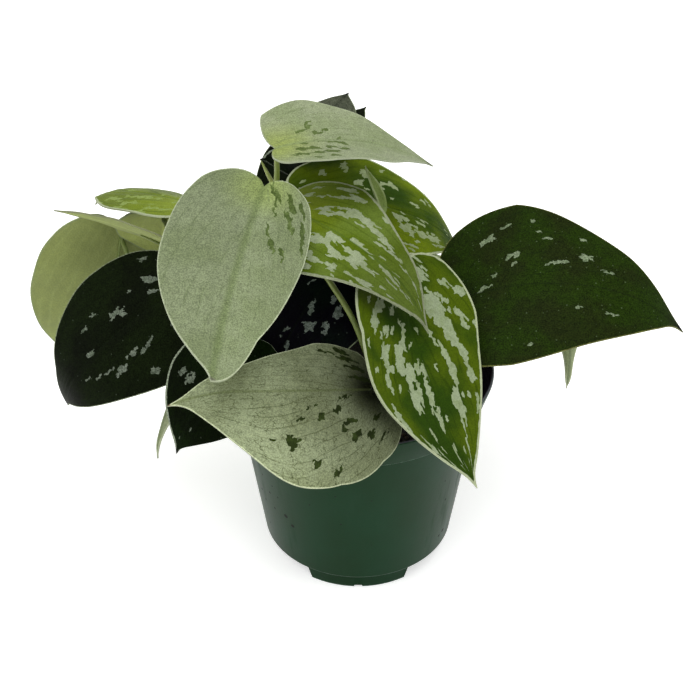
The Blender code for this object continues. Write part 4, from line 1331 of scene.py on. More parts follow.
        beyond_lobes = outline[LOBE_SPANS * BLADE_ROWS // OUTLINE_SPANS:]
        breadth = np.interp(a, beyond_lobes[:, 0], beyond_lobes[:, 1])
        fullness = np.clip(np.abs(b) / np.maximum(breadth, 1e-3), 0, 1)
        blunt = np.where(side > 0, *self.blunt) * np.sqrt(np.clip(1 - a, 0, 1))
        b = np.where(a > WIDEST, b * np.maximum(blunt / np.maximum(breadth, 1e-3), 1), b)
        share, aside = self.plan(a, b)
        run = share * self.length
        label = fullness * self.width / 2 - VEIN_SLANT * run
        relief = self._relief(share, aside, fullness, label, side)
        mesh.vertices.foreach_set("co", (self.surface(a, b, relief) * MM).ravel())

        plane = np.column_stack([run, aside])
        margin_away = np.empty(len(a))
        for half in (1.0, -1.0):
            own = side == half
            edge = own & (across > 1 - 1e-6)
            line = plane[edge][np.argsort(row[edge])]
            margin_away[own] = distance_to_line(plane[own], line)
        corners = np.empty(len(mesh.loops), int)
        mesh.loops.foreach_get("vertex_index", corners)
        facing = np.repeat(np.where(flat[corners, 0].reshape(-1, 4).mean(axis=1) > 0, -1.0, 1.0), 4)
        self._map(mesh, "blade", plane[corners, 0], plane[corners, 1])
        self._map(mesh, "streak", run[corners], facing * (label[corners] + SIDE_SHIFT))
        self._map(mesh, "edge", margin_away[corners], np.abs(aside[corners]))
        return self._finish(blade)

    def _relief(self, share: np.ndarray, aside: np.ndarray, fullness: np.ndarray, label: np.ndarray,
                side: np.ndarray) -> np.ndarray:
        """Work out what midrib, side veins and margin add to the smooth blade.

        Args:
            share: Shares of the length.
            aside: Distances from the midrib in mm.
            fullness: Shares of the way from the midrib to the edge.
            label: Distances across the veins in mm.
            side: 1 on the left and -1 on the right.

        Returns:
            One height for each point, in mm.
        """
        fade = np.clip(1.05 - share, 0, 1)
        groove = -GROOVE_DEPTH * np.exp(-(aside / GROOVE_WIDTH) ** 2) * fade
        open_part = np.clip(4 * fullness * (1 - fullness), 0, 1) * np.clip(6 * (1 - share), 0, 1)
        quilt = -QUILT_DEPTH * np.cos(2 * math.pi * label / VEIN_SPACING) * open_part
        turns = RIPPLE_TURNS[0] + RIPPLE_TURNS[1] * (self.seed % 3)
        shift = RIPPLE_SHIFT[0] * self.seed + RIPPLE_SHIFT[1] * side
        wave = np.sin(2 * math.pi * (turns * share + shift))
        calm = np.clip(3 * (1 - share), 0, 1)
        ripple = RIPPLE_DEPTH * wave * fullness ** 3 * calm * self.width / RIPPLE_WIDTH
        return groove + quilt + ripple

    @staticmethod
    def _map(mesh: bpy.types.Mesh, name: str, first: np.ndarray, second: np.ndarray) -> None:
        """Store two numbers for each face corner as a UV map."""
        layer = mesh.uv_layers.new(name=name)
        layer.data.foreach_set("uv", np.column_stack([first, second]).ravel().astype(np.float32))

    def _finish(self, blade: bpy.types.Object) -> bpy.types.Object:
        """Close the poles and give the blade its thickness, with its own material on each face.

        Args:
            blade: The shaped grid.

        Returns:
            The same object.
        """
        with edit_mode(blade):
            bpy.ops.mesh.remove_doubles(threshold=1e-6)
        layers = blade.data.uv_layers
        for extra in {layer.name for layer in layers} - set(MAPS):
            layers.remove(layers[extra])
        wall = blade.modifiers.new("Blade", "SOLIDIFY")
        wall.thickness = BLADE_THICKNESS * MM
        wall.offset = 0.0
        wall.material_offset = 1
        wall.material_offset_rim = 2
        for _ in range(3):
            blade.data.materials.append(None)
        apply_modifiers(blade)
        smooth_by_angle(blade, degrees=50)
        return blade

    def dress(self, blade: bpy.types.Object, materials: Materials) -> None:
        """Give the blade its three materials."""
        for index, made in enumerate((materials.upper(self), materials.under(self), materials.rim(self))):
            blade.data.materials[index] = made


# Stems: how deep they stand in the soil and how far they rise straight, their radius, how slim they
# are between nodes, and how their nodes swell
CLEARANCE = 0.3
STEM_DEPTH = 14.0
STEM_RISE = 3.0
STEM_RADIUS = 2.3
STEM_SLIM = 0.92
STEM_STEPS = 12
NODE_SWELL = 0.5
NODE_REACH = 2.2
# Petioles: radius at both ends, how steeply and from how far they arrive, and where they end past and
# under the joint
PETIOLE_STEPS = 30
PETIOLE_RADIUS = 1.35
PETIOLE_TIP_RADIUS = 1.0
PETIOLE_RISE = 0.85
PETIOLE_LEAD = 5
PETIOLE_SEAT = (0.9, 1.1)
# Their swellings: the sheath round the node and the knee under the blade, in shares of their length
SHEATH_SWELL = 0.55
SHEATH_REACH = 0.12
KNEE_SWELL = 0.12
KNEE_PLACE = 0.93
KNEE_REACH = 0.06
# The rib by which a petiole runs on under its blade: shares of the blade's length, radii and cover
RIB_RUNS = (0.05, 0.11, 0.19, 0.28)
RIB_RADII = (0.72, 0.6, 0.5, 0.4)
RIB_COVER = 0.15
NEAR_MIDRIB = 1e-4
# The thin second shoot beside the top leaf's petiole
SHOOT_STEPS = 12
SHOOT_RADIUS = 1.1
TUBE_ROUNDNESS = 4
# The grid in which a vine's stem, petioles and shoots are fused
FUSE_VOXEL = 0.38

LEAVES = tuple(replace(leaf, seed=number) for number, leaf in enumerate((
    Leaf("leaf_top_silver", "vine_top", 3, TOP_SILVER, joint=(-32, 14, 180), heading=19, pitch=15, roll=-4,
         length=68, width=52, arch=6, cup=(3, 4), sweep=2, curl=0, lean=0.13, taper=(0.06, -0.14),
         lobe=(0.35, 0.5), rake=-0.2, via=((-33, 24, 155), (-32, 18, 168))),
    Leaf("leaf_front_silver", "vine_top", 3, FRONT_SILVER, joint=(-35, -11, 176), heading=-100, pitch=22,
         roll=15, length=91, width=51, arch=-1, cup=(-9, -5), sweep=-2, curl=-8, lean=-0.12,
         taper=(0.04, -0.05), lobe=(0.65, 0.65), blunt=(1.1, 0), via=((-37, 8, 162),)),
    Leaf("leaf_centre_patched", "vine_top", 3, PATCHED, joint=(-29, 12, 155), heading=-36, pitch=19,
         roll=-4, length=75, width=55, arch=9, cup=(3, -5), sweep=-2, curl=9, lean=-0.04,
         taper=(0.24, 0.27), lobe=(0.8, 1.0), via=((-29, 19, 147),)),
    Leaf("leaf_right_patched", "vine_centre", 2, DEEP_PATCHED, joint=(15, -4, 134), heading=-64, pitch=42,
         roll=12, length=88, width=58, arch=4.5, cup=(1.5, 6.5), sweep=-6, curl=-1.5, lean=0.07,
         taper=(0.11, -0.23), via=((13, 10, 130),)),
    Leaf("leaf_rim_silver", "vine_top", 3, RIM_SILVER, joint=(4, -44, 108), heading=199, pitch=-12, roll=19,
         length=76, width=57, cup=(-10.5, -1), sweep=4, curl=8, lean=0.2, taper=(-0.17, 0.19),
         lobe=(1.7, 0.5), via=((-23, 13, 141), (-14, -4, 136), (-2, -20, 123), (5, -32, 106))),
    Leaf("leaf_right_dark", "vine_right", 1, RIGHT_DARK, joint=(39, 12, 113), heading=-3, pitch=5, roll=-27,
         length=97, width=77, arch=13, cup=(-3.5, -5.5), sweep=5.5, curl=6.5, lean=0.12, taper=(0.17, 0.1),
         lobe=(0.85, 1.0), via=((33, 12, 102),)),
    Leaf("leaf_left_dark", "vine_left", 2, DARK, joint=(-75, 8, 119), heading=-179, pitch=46, roll=52,
         length=79, width=58, arch=11, sweep=-1, curl=8, lean=0.05, taper=(0.14, -0.02), blunt=(0, 0.85),
         via=((-60, 14, 112),)),
    Leaf("leaf_left_back", "vine_left", 3, OLIVE, joint=(-104, 56, 122), heading=151, pitch=68, roll=-26,
         length=86, width=69, arch=-5, cup=(3, -2), lean=0.1, lobe=(1.2, 1.0), rake=-0.5,
         via=((-78, 44, 97), (-98, 53, 106))),
    Leaf("leaf_left_patched", "vine_left", 3, YOUNG_PATCHED, joint=(-66, 30, 148), heading=144, pitch=11,
         roll=-7, length=63, width=36, arch=3, cup=(-2, -8.5), sweep=3, curl=6, taper=(-0.17, -0.6),
         via=((-60, 31, 130),)),
    Leaf("leaf_left_edge", "vine_left", 3, EDGE_OLIVE, joint=(-77, 27, 130), heading=177, pitch=-18,
         roll=-38, length=50, width=26, lean=0.15, arch=2, cup=(0, 0), curl=0, via=((-67, 28, 118),)),
    Leaf("leaf_left_hanging", "vine_left", 3, OLIVE_PAINTED_LIGHT_UNDER, joint=(-82, 46, 135), heading=110, pitch=62,
         roll=-12, length=34, width=42, arch=2, lobe=(2.4, 1), via=((-71, 38, 122),)),
    Leaf("leaf_back_patched", "vine_back", 2, SHADED_PATCHED, joint=(-20, 50, 140), heading=11, pitch=25,
         roll=-18, length=77, width=60, arch=10, curl=4, lean=0.05, taper=(0.04, 0), lobe=(1.25, 1),
         via=((-15, 49, 128),)),
    Leaf("leaf_centre_dark", "vine_centre", 2, CENTRE_DARK, joint=(-6, 10, 131), heading=-131, pitch=40,
         roll=12, length=64, width=51, arch=6, cup=(-3, -1), sweep=-2, taper=(-0.03, -0.07),
         via=((3, 19, 122),)),
    Leaf("leaf_low_dark", "vine_left", 1, LOW_DARK, joint=(-45, -22, 115), heading=-140, pitch=46, roll=19,
         length=51, width=42, cup=(-3.5, -2), curl=3, lean=0.06, taper=(-0.14, -0.08),
         via=((-48, 4, 99), (-50, -10, 109))),
    Leaf("leaf_top_back_dark", "vine_back", 2, LOW_DARK, joint=(-27, 84, 141), heading=-134, pitch=-24,
         roll=40, length=24, width=14, arch=1, cup=(-1, -1), curl=0.5, via=((-16, 68, 126), (-23, 84, 132))),
    Leaf("leaf_top_hanging_dark", "vine_back", 2, DARK, joint=(-21, 105, 141), heading=-160, pitch=30,
         roll=35, length=34, width=28, arch=2, cup=(-1, -1), lean=0.1,
         via=((-16, 68, 126), (-12, 84, 138), (-8, 104, 138))),
    Leaf("leaf_top_pointed", "vine_back", 2, TOP_DARK, joint=(-22, 65, 161), heading=60, pitch=-12, roll=0,
         length=37, width=32, arch=2, curl=-1, via=((-16, 68, 128), (-19, 82, 141), (-25, 74, 152))),
    Leaf("leaf_top_blunt", "vine_back", 2, DARK, joint=(-14, 74, 155), heading=50, pitch=-15, roll=0,
         length=29, width=20, arch=2, curl=-1, via=((-16, 68, 128), (-17, 84, 142), (-15, 80, 150))),
    Leaf("leaf_back_upper", "vine_back", 2, RIGHT_DARK, joint=(6, 84, 129), heading=82, pitch=40, roll=0,
         length=62, width=48, via=((0, 66, 121),)),
    Leaf("leaf_back_left", "vine_left", 2, DEEP_PATCHED, joint=(-50, 60, 100), heading=138, pitch=44,
         roll=0, length=70, width=54, via=((-46, 40, 102),)),
    Leaf("leaf_back_centre", "vine_back", 2, RIGHT_DARK, joint=(-4, 66, 110), heading=95, pitch=44, roll=0,
         length=74, width=56, via=((-7, 56, 115),)),
    Leaf("leaf_back_low", "vine_back", 1, SILVER, joint=(18, 62, 103), heading=66, pitch=40, roll=0,
         length=70, width=54, via=((9, 52, 104),)),
    Leaf("leaf_back_right", "vine_right", 2, PATCHED, joint=(44, 52, 104), heading=38, pitch=38, roll=0,
         length=72, width=54, via=((42, 38, 103),)),
    Leaf("leaf_right_hanging", "vine_right", 3, PALE_YOUNG, joint=(91, 26, 95), heading=-84, pitch=78,
         roll=0, length=33, width=10, arch=2, taper=(0.5, 0.5), via=((62, 26, 102), (80, 29, 102))),
    Leaf("leaf_low_hanging", "vine_left", 2, PALE_YOUNG, joint=(-76, 8, 74), heading=-146, pitch=66, roll=0,
         length=37, width=9, arch=2, taper=(0.4, 0.4), via=((-58, 16, 94), (-68, 12, 87))),
    Leaf("leaf_new_rolled", "vine_centre", 2, NEW_GREEN, joint=(9, 20, 150), heading=163, pitch=-70, roll=0,
         length=20, width=8, arch=0, cup=(2, 2), curl=0, via=((9, 13, 133), (10, 16, 142))),
), 1))


@dataclass
class Vine:
    """A rooted stem with the petioles that grow from its nodes, fused into one skin."""

    name: str
    nodes: tuple[Point, ...]
    shoots: tuple[tuple[Point, ...], ...] = ()
    leaves: list[Leaf] = field(default_factory=list)

    def build(self) -> bpy.types.Object:
        """Join stem and petioles and fuse them, so that each petiole's sheath wraps its node.

        Returns:
            The vine.
        """
        nodes = [np.array(p, float) for p in self.nodes]
        foot = nodes[0] - np.array([0, 0, STEM_DEPTH - CLEARANCE])
        low = nodes[0] + np.array([0, 0, STEM_RISE])
        upper = smooth_line([low, *nodes[1:]], STEM_STEPS * (len(nodes) - 1))
        points = np.vstack([foot, (foot + low) / 2, upper])
        gaps = np.min([np.linalg.norm(points - node, axis=1) for node in nodes[1:]], axis=0)
        radii = STEM_RADIUS * STEM_SLIM + NODE_SWELL * np.exp(-(gaps / NODE_REACH) ** 2)
        parts = [tube(self.name, points, radii)]
        for leaf in self.leaves:
            parts.append(tube("petiole_" + leaf.name, *leaf.petiole(nodes[leaf.node])))
        for index, shoot in enumerate(self.shoots):
            line = smooth_line(shoot, SHOOT_STEPS)
            share = np.linspace(0, 1, len(line))
            parts.append(tube(f"shoot_{index}", line, SHOOT_RADIUS * (1.04 - share ** 3)))
        pick(*parts)
        bpy.ops.object.join()
        vine = bpy.context.object
        close_up(vine)
        fuse = vine.modifiers.new("Fuse", "REMESH")
        fuse.mode = "VOXEL"
        fuse.voxel_size = FUSE_VOXEL * MM
        ease = vine.modifiers.new("Ease", "SMOOTH")
        ease.factor, ease.iterations = 0.5, 3
        apply_modifiers(vine)
        pick(vine)
        bpy.ops.object.shade_smooth()
        return vine


VINES = (
    Vine("vine_top", ((-14, 26, SOIL_TOP), (-18, 28, 98), (-27, 31, 120), (-32, 29, 140)),
         shoots=(((-32.4, 25, 148), (-33.6, 24, 158), (-36.4, 24, 165), (-39.4, 24, 172)),)),
    Vine("vine_left", ((-24, 8, SOIL_TOP), (-32, 12, 92), (-44, 18, 101), (-58, 28, 108))),
    Vine("vine_centre", ((8, 20, SOIL_TOP), (9, 21, 97), (7, 24, 116))),
    Vine("vine_right", ((24, 6, SOIL_TOP), (30, 10, 90), (40, 20, 99), (50, 26, 105))),
    Vine("vine_back", ((2, 38, SOIL_TOP), (-3, 42, 96), (-8, 46, 114))),
)


# The pot and its soil

# The number of chords in each rounded corner
ROUND_STEPS = 3


def rounded(profile: Sequence[tuple[float, float, float]]) -> list[tuple[float, float]]:
    """Round the corners of an open profile.

    Args:
        profile: Rows of radius, height and how far the corner is rounded back, in mm.

    Returns:
        The (radius, height) points.
    """
    points = [np.array(row[:2], float) for row in profile]
    line = [points[0]]
    for before, corner, after, row in zip(points, points[1:], points[2:], profile[1:]):
        back = min(row[2], 0.45 * np.linalg.norm(corner - before), 0.45 * np.linalg.norm(after - corner))
        start, end = corner + unit(before - corner) * back, corner + unit(after - corner) * back
        for t in np.linspace(0, 1, ROUND_STEPS + 1):
            line.append(start * (1 - t) ** 2 + corner * 2 * t * (1 - t) + end * t ** 2)
    line.append(points[-1])
    return [(float(r), float(z)) for r, z in line]


def turned(name: str, profile: Sequence[tuple[float, float]], sides: int) -> bpy.types.Object:
    """Grow a turned solid ring by ring from a small disc, and close it in its far pole.

    Args:
        name: The object's name.
        profile: Radius and height of each ring in mm; the first is the disc, the last has radius 0.
        sides: The number of sides of each ring.

    Returns:
        The closed solid.
    """
    deselect_all()
    radius, height = profile[0]
    bpy.ops.mesh.primitive_circle_add(vertices=sides, radius=radius * MM, fill_type="TRIFAN",
                                      location=(0, 0, height * MM))
    made = bpy.context.object
    made.name = name
    settle(made)
    with edit_mode(made):
        bpy.ops.mesh.select_mode(type="EDGE")
        bpy.ops.mesh.select_all(action="DESELECT")
        bpy.ops.mesh.select_non_manifold()
        for (r0, z0), (r1, z1) in zip(profile, profile[1:]):
            rise = {"value": (0, 0, (z1 - z0) * MM)}
            bpy.ops.mesh.extrude_region_move(TRANSFORM_OT_translate=rise)
            grow = max(r1, 1e-4) / r0
            bpy.ops.transform.resize(value=(grow, grow, 1), center_override=(0, 0, 0))
        bpy.ops.mesh.merge(type="CENTER")
    close_up(made)
    return made


@dataclass
class Pot:
    """A round nursery pot: a straight band under the rim, a tapered wall, and feet between arches."""

    rim_radius: float = 56.0
    height: float = 90.0
    band_height: float = 12.8
    band_foot_radius: float = 52.4
    wall_top_radius: float = 50.8
    wall_foot_radius: float = 41.2
    thickness: float = 1.5
    foot_radius: float = 37.7
    foot_height: float = 8.4
    foot_width: float = 2.4
    floor_thickness: float = 2.2
    floor_underside: float = 4.0
    boss_radius: float = 7.5
    arches: int = 3
    arch_span: float = 58.0
    arch_height: float = 7.0
    notch_width: float = 3.5
    notch_height: float = 1.0
    lip_round: float = 0.6
    ledge_round: float = 0.4
    inner_round: float = 2.6
    sides: int = 192
    arch_slant: float = 4.5

    @property
    def wall_top(self) -> float:
        """Return the height at which the wall meets the band."""
        return self.height - self.band_height

    @property
    def floor_top(self) -> float:
        """Return the height of the inner floor."""
        return self.floor_underside + self.floor_thickness

    @property
    def wall_slope(self) -> float:
        """Return how far the wall leans out on each mm of its height."""
        return (self.wall_top_radius - self.wall_foot_radius) / (self.wall_top - self.foot_height)

    def wall_point(self, direction: float, height: float) -> Point:
        """Find a point of the outer wall.

        Args:
            direction: The direction from the axis, in degrees.
            height: The height in mm.

        Returns:
            The point, in metres.
        """
        radius = self.wall_foot_radius + self.wall_slope * (height - self.foot_height)
        turn = math.radians(direction)
        return (radius * MM * math.cos(turn), radius * MM * math.sin(turn), height * MM)

    def highlit_and_worn_heights(self) -> tuple[float, ...]:
        """Return the heights of the edges with pale lines, painted highlight and scuffs: foot, wall foot,
        band foot and lip.
        """
        return (0.3, self.foot_height, self.wall_top + 0.2, self.height - 0.1)

    def profile(self) -> list[tuple[float, float]]:
        """List the rings from the inner floor, over the rim, to the boss under the floor.

        Returns:
            The radius and height of each ring, in mm.
        """
        wall_top, floor_top = self.wall_top, self.floor_top
        rim_inner = self.rim_radius - self.thickness
        foot_inner = self.foot_radius - self.foot_width
        turn = self.lip_round
        return rounded((
            (5.0, floor_top, 0), (self.wall_foot_radius - 2 * self.inner_round, floor_top, 1.2),
            (self.wall_foot_radius - self.inner_round, self.foot_height + self.inner_round / 2, 1.0),
            (self.wall_foot_radius - self.thickness, self.foot_height + self.inner_round, 1.0),
            (self.wall_top_radius - self.thickness, wall_top, turn),
            (self.band_foot_radius - self.thickness, wall_top + self.thickness, turn),
            (rim_inner, self.height - 2 * turn, 0.2),
            (rim_inner + self.ledge_round, self.height - turn / 2, 0.3),
            (self.rim_radius - turn, self.height, 0.35), (self.rim_radius, self.height - turn, 0.35),
            (self.band_foot_radius, wall_top + self.ledge_round, 0.3),
            (self.band_foot_radius - self.ledge_round, wall_top, 0.3),
            (self.wall_top_radius, wall_top - self.ledge_round / 2, 0.3),
            (self.wall_foot_radius, self.foot_height + turn, 0.5),
            (self.wall_foot_radius - self.ledge_round, self.foot_height, 0.3),
            (self.foot_radius + self.ledge_round, self.foot_height - self.ledge_round, 0.3),
            (self.foot_radius, 0, 0.25), (foot_inner, 0, 0.25),
            (foot_inner - self.ledge_round, self.floor_underside, 0.4),
            (self.boss_radius + self.ledge_round, self.floor_underside, 0.4),
            (self.boss_radius, 0, 0.3), (0, 0, 0),
        ))

    def _arch_cutter(self, middle: float) -> bpy.types.Object:
        """Make the block that a drain arch is cut with, spun about the pot's axis.

        Args:
            middle: The direction of the arch's middle, in radians.

        Returns:
            The cutter.
        """
        inner, outer = self.foot_radius - 2 * self.foot_width, 2 * self.rim_radius
        low, high = -1.0, self.arch_height
        deselect_all()
        centre = ((inner + outer) / 2 * MM, 0, (low + high) / 2 * MM)
        bpy.ops.mesh.primitive_plane_add(size=1, location=centre, rotation=(math.pi / 2, 0, 0))
        cutter = bpy.context.object
        cutter.scale = ((outer - inner) * MM, (high - low) * MM, 1)
        settle(cutter)
        half = math.radians(self.arch_span / 2)
        cutter.rotation_euler.z = -half
        settle(cutter)
        with edit_mode(cutter):
            bpy.ops.mesh.spin(steps=24, angle=-2 * half, center=(0, 0, 0), axis=(0, 0, 1))
        for vertex in cutter.data.vertices:
            across = math.atan2(vertex.co.y, vertex.co.x) / half
            slant = -math.radians(self.arch_slant) * across * (vertex.co.z / MM / high)
            vertex.co = Matrix.Rotation(slant, 3, "Z") @ vertex.co
        cutter.rotation_euler.z = middle
        settle(cutter)
        return cutter

    def _notch_cutter(self, middle: float) -> bpy.types.Object:
        """Make the block that a foot's small notch is cut with, bevelled along its top.

        Args:
            middle: The direction of the notch's middle, in radians.

        Returns:
            The cutter.
        """
        deselect_all()
        place = (self.foot_radius * MM * math.cos(middle), self.foot_radius * MM * math.sin(middle), 0)
        bpy.ops.mesh.primitive_cube_add(size=MM, rotation=(0, 0, middle), location=place)
        cutter = bpy.context.object
        cutter.scale = (3 * self.foot_width, self.notch_width, 2 * self.notch_height)
        settle(cutter)
        with edit_mode(cutter):
            bpy.ops.mesh.bevel(offset=0.5 * MM, segments=3)
        return cutter

    def build(self) -> bpy.types.Object:
        """Turn the pot and cut its drain arches and foot notches.

        Returns:
            The pot.
        """
        pot = turned("pot_shell", self.profile(), self.sides)
        for index in range(self.arches):
            turn = 2 * math.pi / self.arches * index
            arch = self._arch_cutter(-math.pi / 2 + math.pi / self.arches + turn)
            for cutter in (arch, self._notch_cutter(-math.pi / 2 + turn)):
                close_up(cutter)
                cut_away(pot, cutter)
        smooth_by_angle(pot, degrees=35)
        return pot


@dataclass
class Soil:
    """The potting mix: a plug with a lumpy crown, and loose crumbs of bark and peat on it.

    Each pair of a crumb's values is a range: how far its corners are moved, its size in mm, and its
    length and height as shares of its size.
    """

    top: float = SOIL_TOP
    crown: float = 2.0
    drop: float = 2.0
    sides: int = 96
    crumbs: int = 460
    crumb_kinds: int = 5
    crumb_corner: tuple[float, float] = (0.7, 1.2)
    crumb_bevel: float = 0.12
    crumb_size: tuple[float, float] = (0.35, 1.3)
    crumb_length: tuple[float, float] = (1.0, 1.9)
    crumb_height: tuple[float, float] = (0.4, 0.8)
    crumb_turn: float = 6.3
    crumb_tilt: float = 0.4
    lump_size: float = 3.2
    lump_height: float = 1.8
    stem_room: float = 3.4
    seed: int = 11

    def build(self, pot: Pot) -> bpy.types.Object:
        """Build the plug inside the pot, bore the stems' holes and strew the crumbs.

        Args:
            pot: The pot that the soil fills.

        Returns:
            The soil.
        """
        floor = pot.floor_top + CLEARANCE
        low, high = pot.foot_height + pot.inner_round + CLEARANCE, self.top - self.drop
        edge = pot.wall_foot_radius - pot.thickness - 2 * CLEARANCE
        brim = edge + pot.wall_slope * (high - low)
        rings = [(brim * share, self._crown_height(share)) for share in np.linspace(0.04, 0.98, 26)]
        rings += [(brim, high - 1.2), (edge, low), (edge - 1.5 * pot.inner_round, floor + pot.lip_round),
                  (edge - 2 * pot.inner_round, floor), (0, floor)]
        soil = turned("soil_plug", rings, self.sides)
        self._lump(soil)
        self._bore(soil)
        self._strew(soil, brim)
        smooth_by_angle(soil, degrees=40)
        return soil

    def _crown_height(self, share: float) -> float:
        """Return the height of the smooth crown at a share of the plug's radius."""
        return self.top + self.crown * (1 - share ** 2) - self.drop * share ** 6 - 0.2

    def _lump(self, soil: bpy.types.Object) -> None:
        """Press the crown into lumps with a clouds texture.

        Args:
            soil: The plug.
        """
        group = soil.vertex_groups.new(name="crown")
        edge = (self.top - self.drop - 0.5) * MM
        group.add([v.index for v in soil.data.vertices if v.co.z > edge], 1.0, "ADD")
        clouds = bpy.data.textures.new("soil_lumps", "CLOUDS")
        clouds.noise_scale, clouds.noise_depth = self.lump_size * MM, 3
        lumps = soil.modifiers.new("Lumps", "DISPLACE")
        lumps.texture, lumps.texture_coords, lumps.vertex_group = clouds, "LOCAL", "crown"
        lumps.direction, lumps.strength, lumps.mid_level = "Z", self.lump_height * MM, 0.5
        apply_modifiers(soil)

    @staticmethod
    def _bore(soil: bpy.types.Object) -> None:
        """Cut a plain hole for every stem.

        Args:
            soil: The plug.
        """
        for vine in VINES:
            x, y, z = vine.nodes[0]
            deselect_all()
            bpy.ops.mesh.primitive_cylinder_add(vertices=24, radius=(STEM_RADIUS + 2 * CLEARANCE) * MM,
                                                depth=2 * STEM_DEPTH * MM,
                                                location=(x * MM, y * MM, z * MM))
            drill = bpy.context.object
            settle(drill)
            cut_away(soil, drill)

    def _crumb(self, dice: random.Random) -> bpy.types.Object:
        """Model one kind of crumb: an irregular few-sided chunk.

        Args:
            dice: The soil's own random numbers.

        Returns:
            The crumb.
        """
        deselect_all()
        bpy.ops.mesh.primitive_ico_sphere_add(subdivisions=1, radius=MM)
        crumb = bpy.context.object
        for vertex in crumb.data.vertices:
            vertex.co *= dice.uniform(*self.crumb_corner)
        with edit_mode(crumb):
            bpy.ops.mesh.bevel(offset=self.crumb_bevel * MM, segments=1)
        return crumb

    def _strew(self, soil: bpy.types.Object, brim: float) -> None:
        """Copy the crumbs over the crown, clear of the stems, and fuse them into the soil's mesh.

        Args:
            soil: The plug.
            brim: The crown's radius in mm.
        """
        dice = random.Random(self.seed)
        kinds = [self._crumb(dice) for _ in range(self.crumb_kinds)]
        self._tone(soil.data, 0.1)
        copies = []
        while len(copies) < self.crumbs:
            away, turn = (brim - 1.5) * math.sqrt(dice.random()), dice.uniform(0, 2 * math.pi)
            x, y = away * math.cos(turn), away * math.sin(turn)
            if min(math.dist((x, y), vine.nodes[0][:2]) for vine in VINES) < self.stem_room + 1:
                continue
            size = dice.uniform(*self.crumb_size)
            mesh = dice.choice(kinds).data.copy()
            long, low = size * dice.uniform(*self.crumb_length), size * dice.uniform(*self.crumb_height)
            spin = Matrix.Rotation(dice.uniform(0, self.crumb_turn), 4, "Z")
            tilt = Matrix.Rotation(dice.uniform(-self.crumb_tilt, self.crumb_tilt), 4, "X")
            place = Vector((x, y, self._crown_height(away / brim) + 0.25 * size)) * MM
            flat = Matrix.Diagonal((long, size, low, 1))
            mesh.transform(Matrix.Translation(place) @ (spin @ tilt) @ flat)
            self._tone(mesh, dice.random() ** 2)
            crumb = bpy.data.objects.new("crumb", mesh)
            bpy.context.scene.collection.objects.link(crumb)
            copies.append(crumb)
        pick(soil, *copies)
        bpy.ops.object.join()
        for kind in kinds:
            bpy.data.objects.remove(kind)

    @staticmethod
    def _tone(mesh: bpy.types.Mesh, tone: float) -> None:
        """Store one tone for a whole mesh, which stays with it when it is joined."""
        layer = mesh.attributes.new("crumb_tone", "FLOAT", "POINT")
        layer.data.foreach_set("value", [tone] * len(mesh.vertices))


# The softboxes: name, place and side in m, power in W
LAMPS = (
    ("overhead", (-0.1, -0.25, 1.25), 1.1, 10.5),
    ("left", (-1.3, -0.5, 0.75), 0.9, 4.4),
    ("right", (1.3, -0.4, 0.7), 0.9, 3.8),
)
LAMP_TARGET = (0, 0, 0.1)


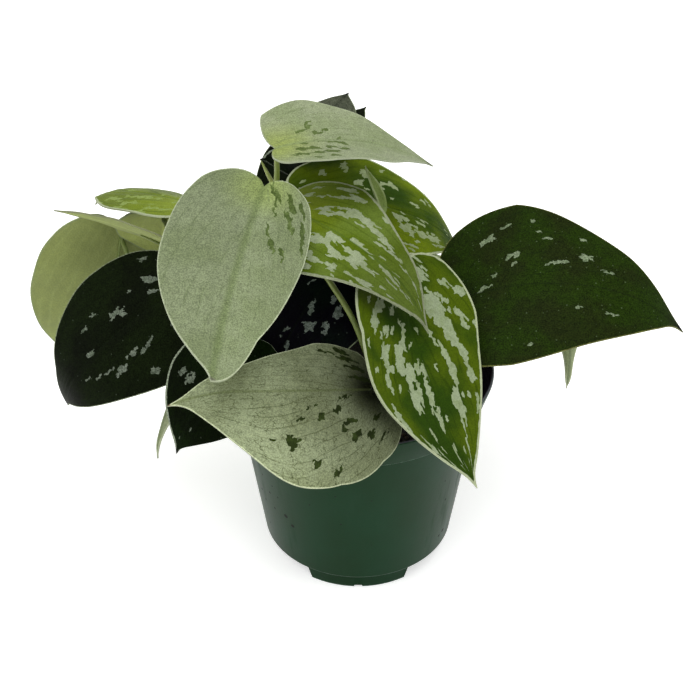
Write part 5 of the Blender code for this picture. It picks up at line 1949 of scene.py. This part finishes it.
@dataclass
class Studio:
    """A plain white floor, an even pale surround and soft lamps, seen from the photograph's angle."""

    elevation: float = 33.5
    distance: float = 500.0
    focal_pixels: float = 1217.7
    frame_pixels: float = 700.0
    target: Point = (-3.5, 0.0, 96.6)
    floor_size: float = 6.0
    floor_glow: float = 0.45
    surround: float = 0.75

    def add_floor(self, materials: Materials) -> None:
        """Lay a wide pale floor.

        Args:
            materials: Where the floor's material comes from.
        """
        deselect_all()
        bpy.ops.mesh.primitive_plane_add(size=self.floor_size)
        floor = bpy.context.object
        floor.name = "floor"
        floor.data.materials.append(materials.floor(self.floor_glow))

    def add_light(self) -> None:
        """Add the surround and the softboxes: a large one overhead, one at each side."""
        world = bpy.data.worlds.new("surround")
        world.use_nodes = True
        sheet = Sheet(world.node_tree)
        lit = world.node_tree.nodes["Background"]
        seen = sheet.node("Background")
        for shade, strength in ((lit, self.surround), (seen, 1.0)):
            sheet.feed(shade, {"Color": (1.0, 1.0, 1.0, 1.0), "Strength": strength})
        to_camera = sheet.node("LightPath").outputs["Is Camera Ray"]
        choice = sheet.node("MixShader", {"Fac": to_camera, 1: lit.outputs[0], 2: seen.outputs[0]})
        sheet.feed(world.node_tree.nodes["World Output"], {"Surface": choice.outputs[0]})
        bpy.context.scene.world = world
        for name, place, size, power in LAMPS:
            lamp = bpy.data.lights.new(name, "AREA")
            lamp.shape, lamp.size, lamp.energy = "SQUARE", size, power
            made = bpy.data.objects.new(name, lamp)
            made.location = place
            aim = Vector(LAMP_TARGET) - Vector(place)
            made.rotation_euler = aim.to_track_quat("-Z", "Y").to_euler()
            bpy.context.scene.collection.objects.link(made)

    def add_camera(self) -> None:
        """Stand the camera where the photograph was taken from."""
        lens = bpy.data.cameras.new("viewer")
        lens.sensor_width = 36.0
        lens.lens = lens.sensor_width * self.focal_pixels / self.frame_pixels
        camera = bpy.data.objects.new("viewer", lens)
        tilt = math.radians(self.elevation)
        target = Vector(self.target) * MM
        camera.location = target + Vector((0, -math.cos(tilt), math.sin(tilt))) * self.distance * MM
        camera.rotation_euler = (math.radians(90 - self.elevation), 0, 0)
        bpy.context.scene.collection.objects.link(camera)
        bpy.context.scene.camera = camera

    def build(self, materials: Materials) -> None:
        """Set up floor, light and camera, with colours shown as they are.

        Args:
            materials: Where the floor's material comes from.
        """
        self.add_floor(materials)
        self.add_light()
        self.add_camera()
        bpy.context.scene.view_settings.view_transform = "Standard"


def main() -> None:
    """Build the studio, the pot, the soil, the vines and the leaves, and note the sizes."""
    logging.basicConfig(level=logging.INFO, format="%(message)s")
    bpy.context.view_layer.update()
    materials = Materials(Effects())
    Studio().build(materials)

    pot = Pot()
    shell = pot.build()
    shell.data.materials.clear()
    shell.data.materials.append(materials.pot(pot))
    hand_over(shell, "pot")

    plug = Soil().build(pot)
    plug.data.materials.clear()
    plug.data.materials.append(materials.soil())
    hand_over(plug, "soil")

    stem_green = materials.stem()
    for vine in VINES:
        skin = replace(vine, leaves=[leaf for leaf in LEAVES if leaf.vine == vine.name]).build()
        skin.data.materials.append(stem_green)
        hand_over(skin, vine.name)

    for leaf in LEAVES:
        blade = leaf.build()
        leaf.dress(blade, materials)
        hand_over(blade, leaf.name)


if __name__ == "__main__":
    main()
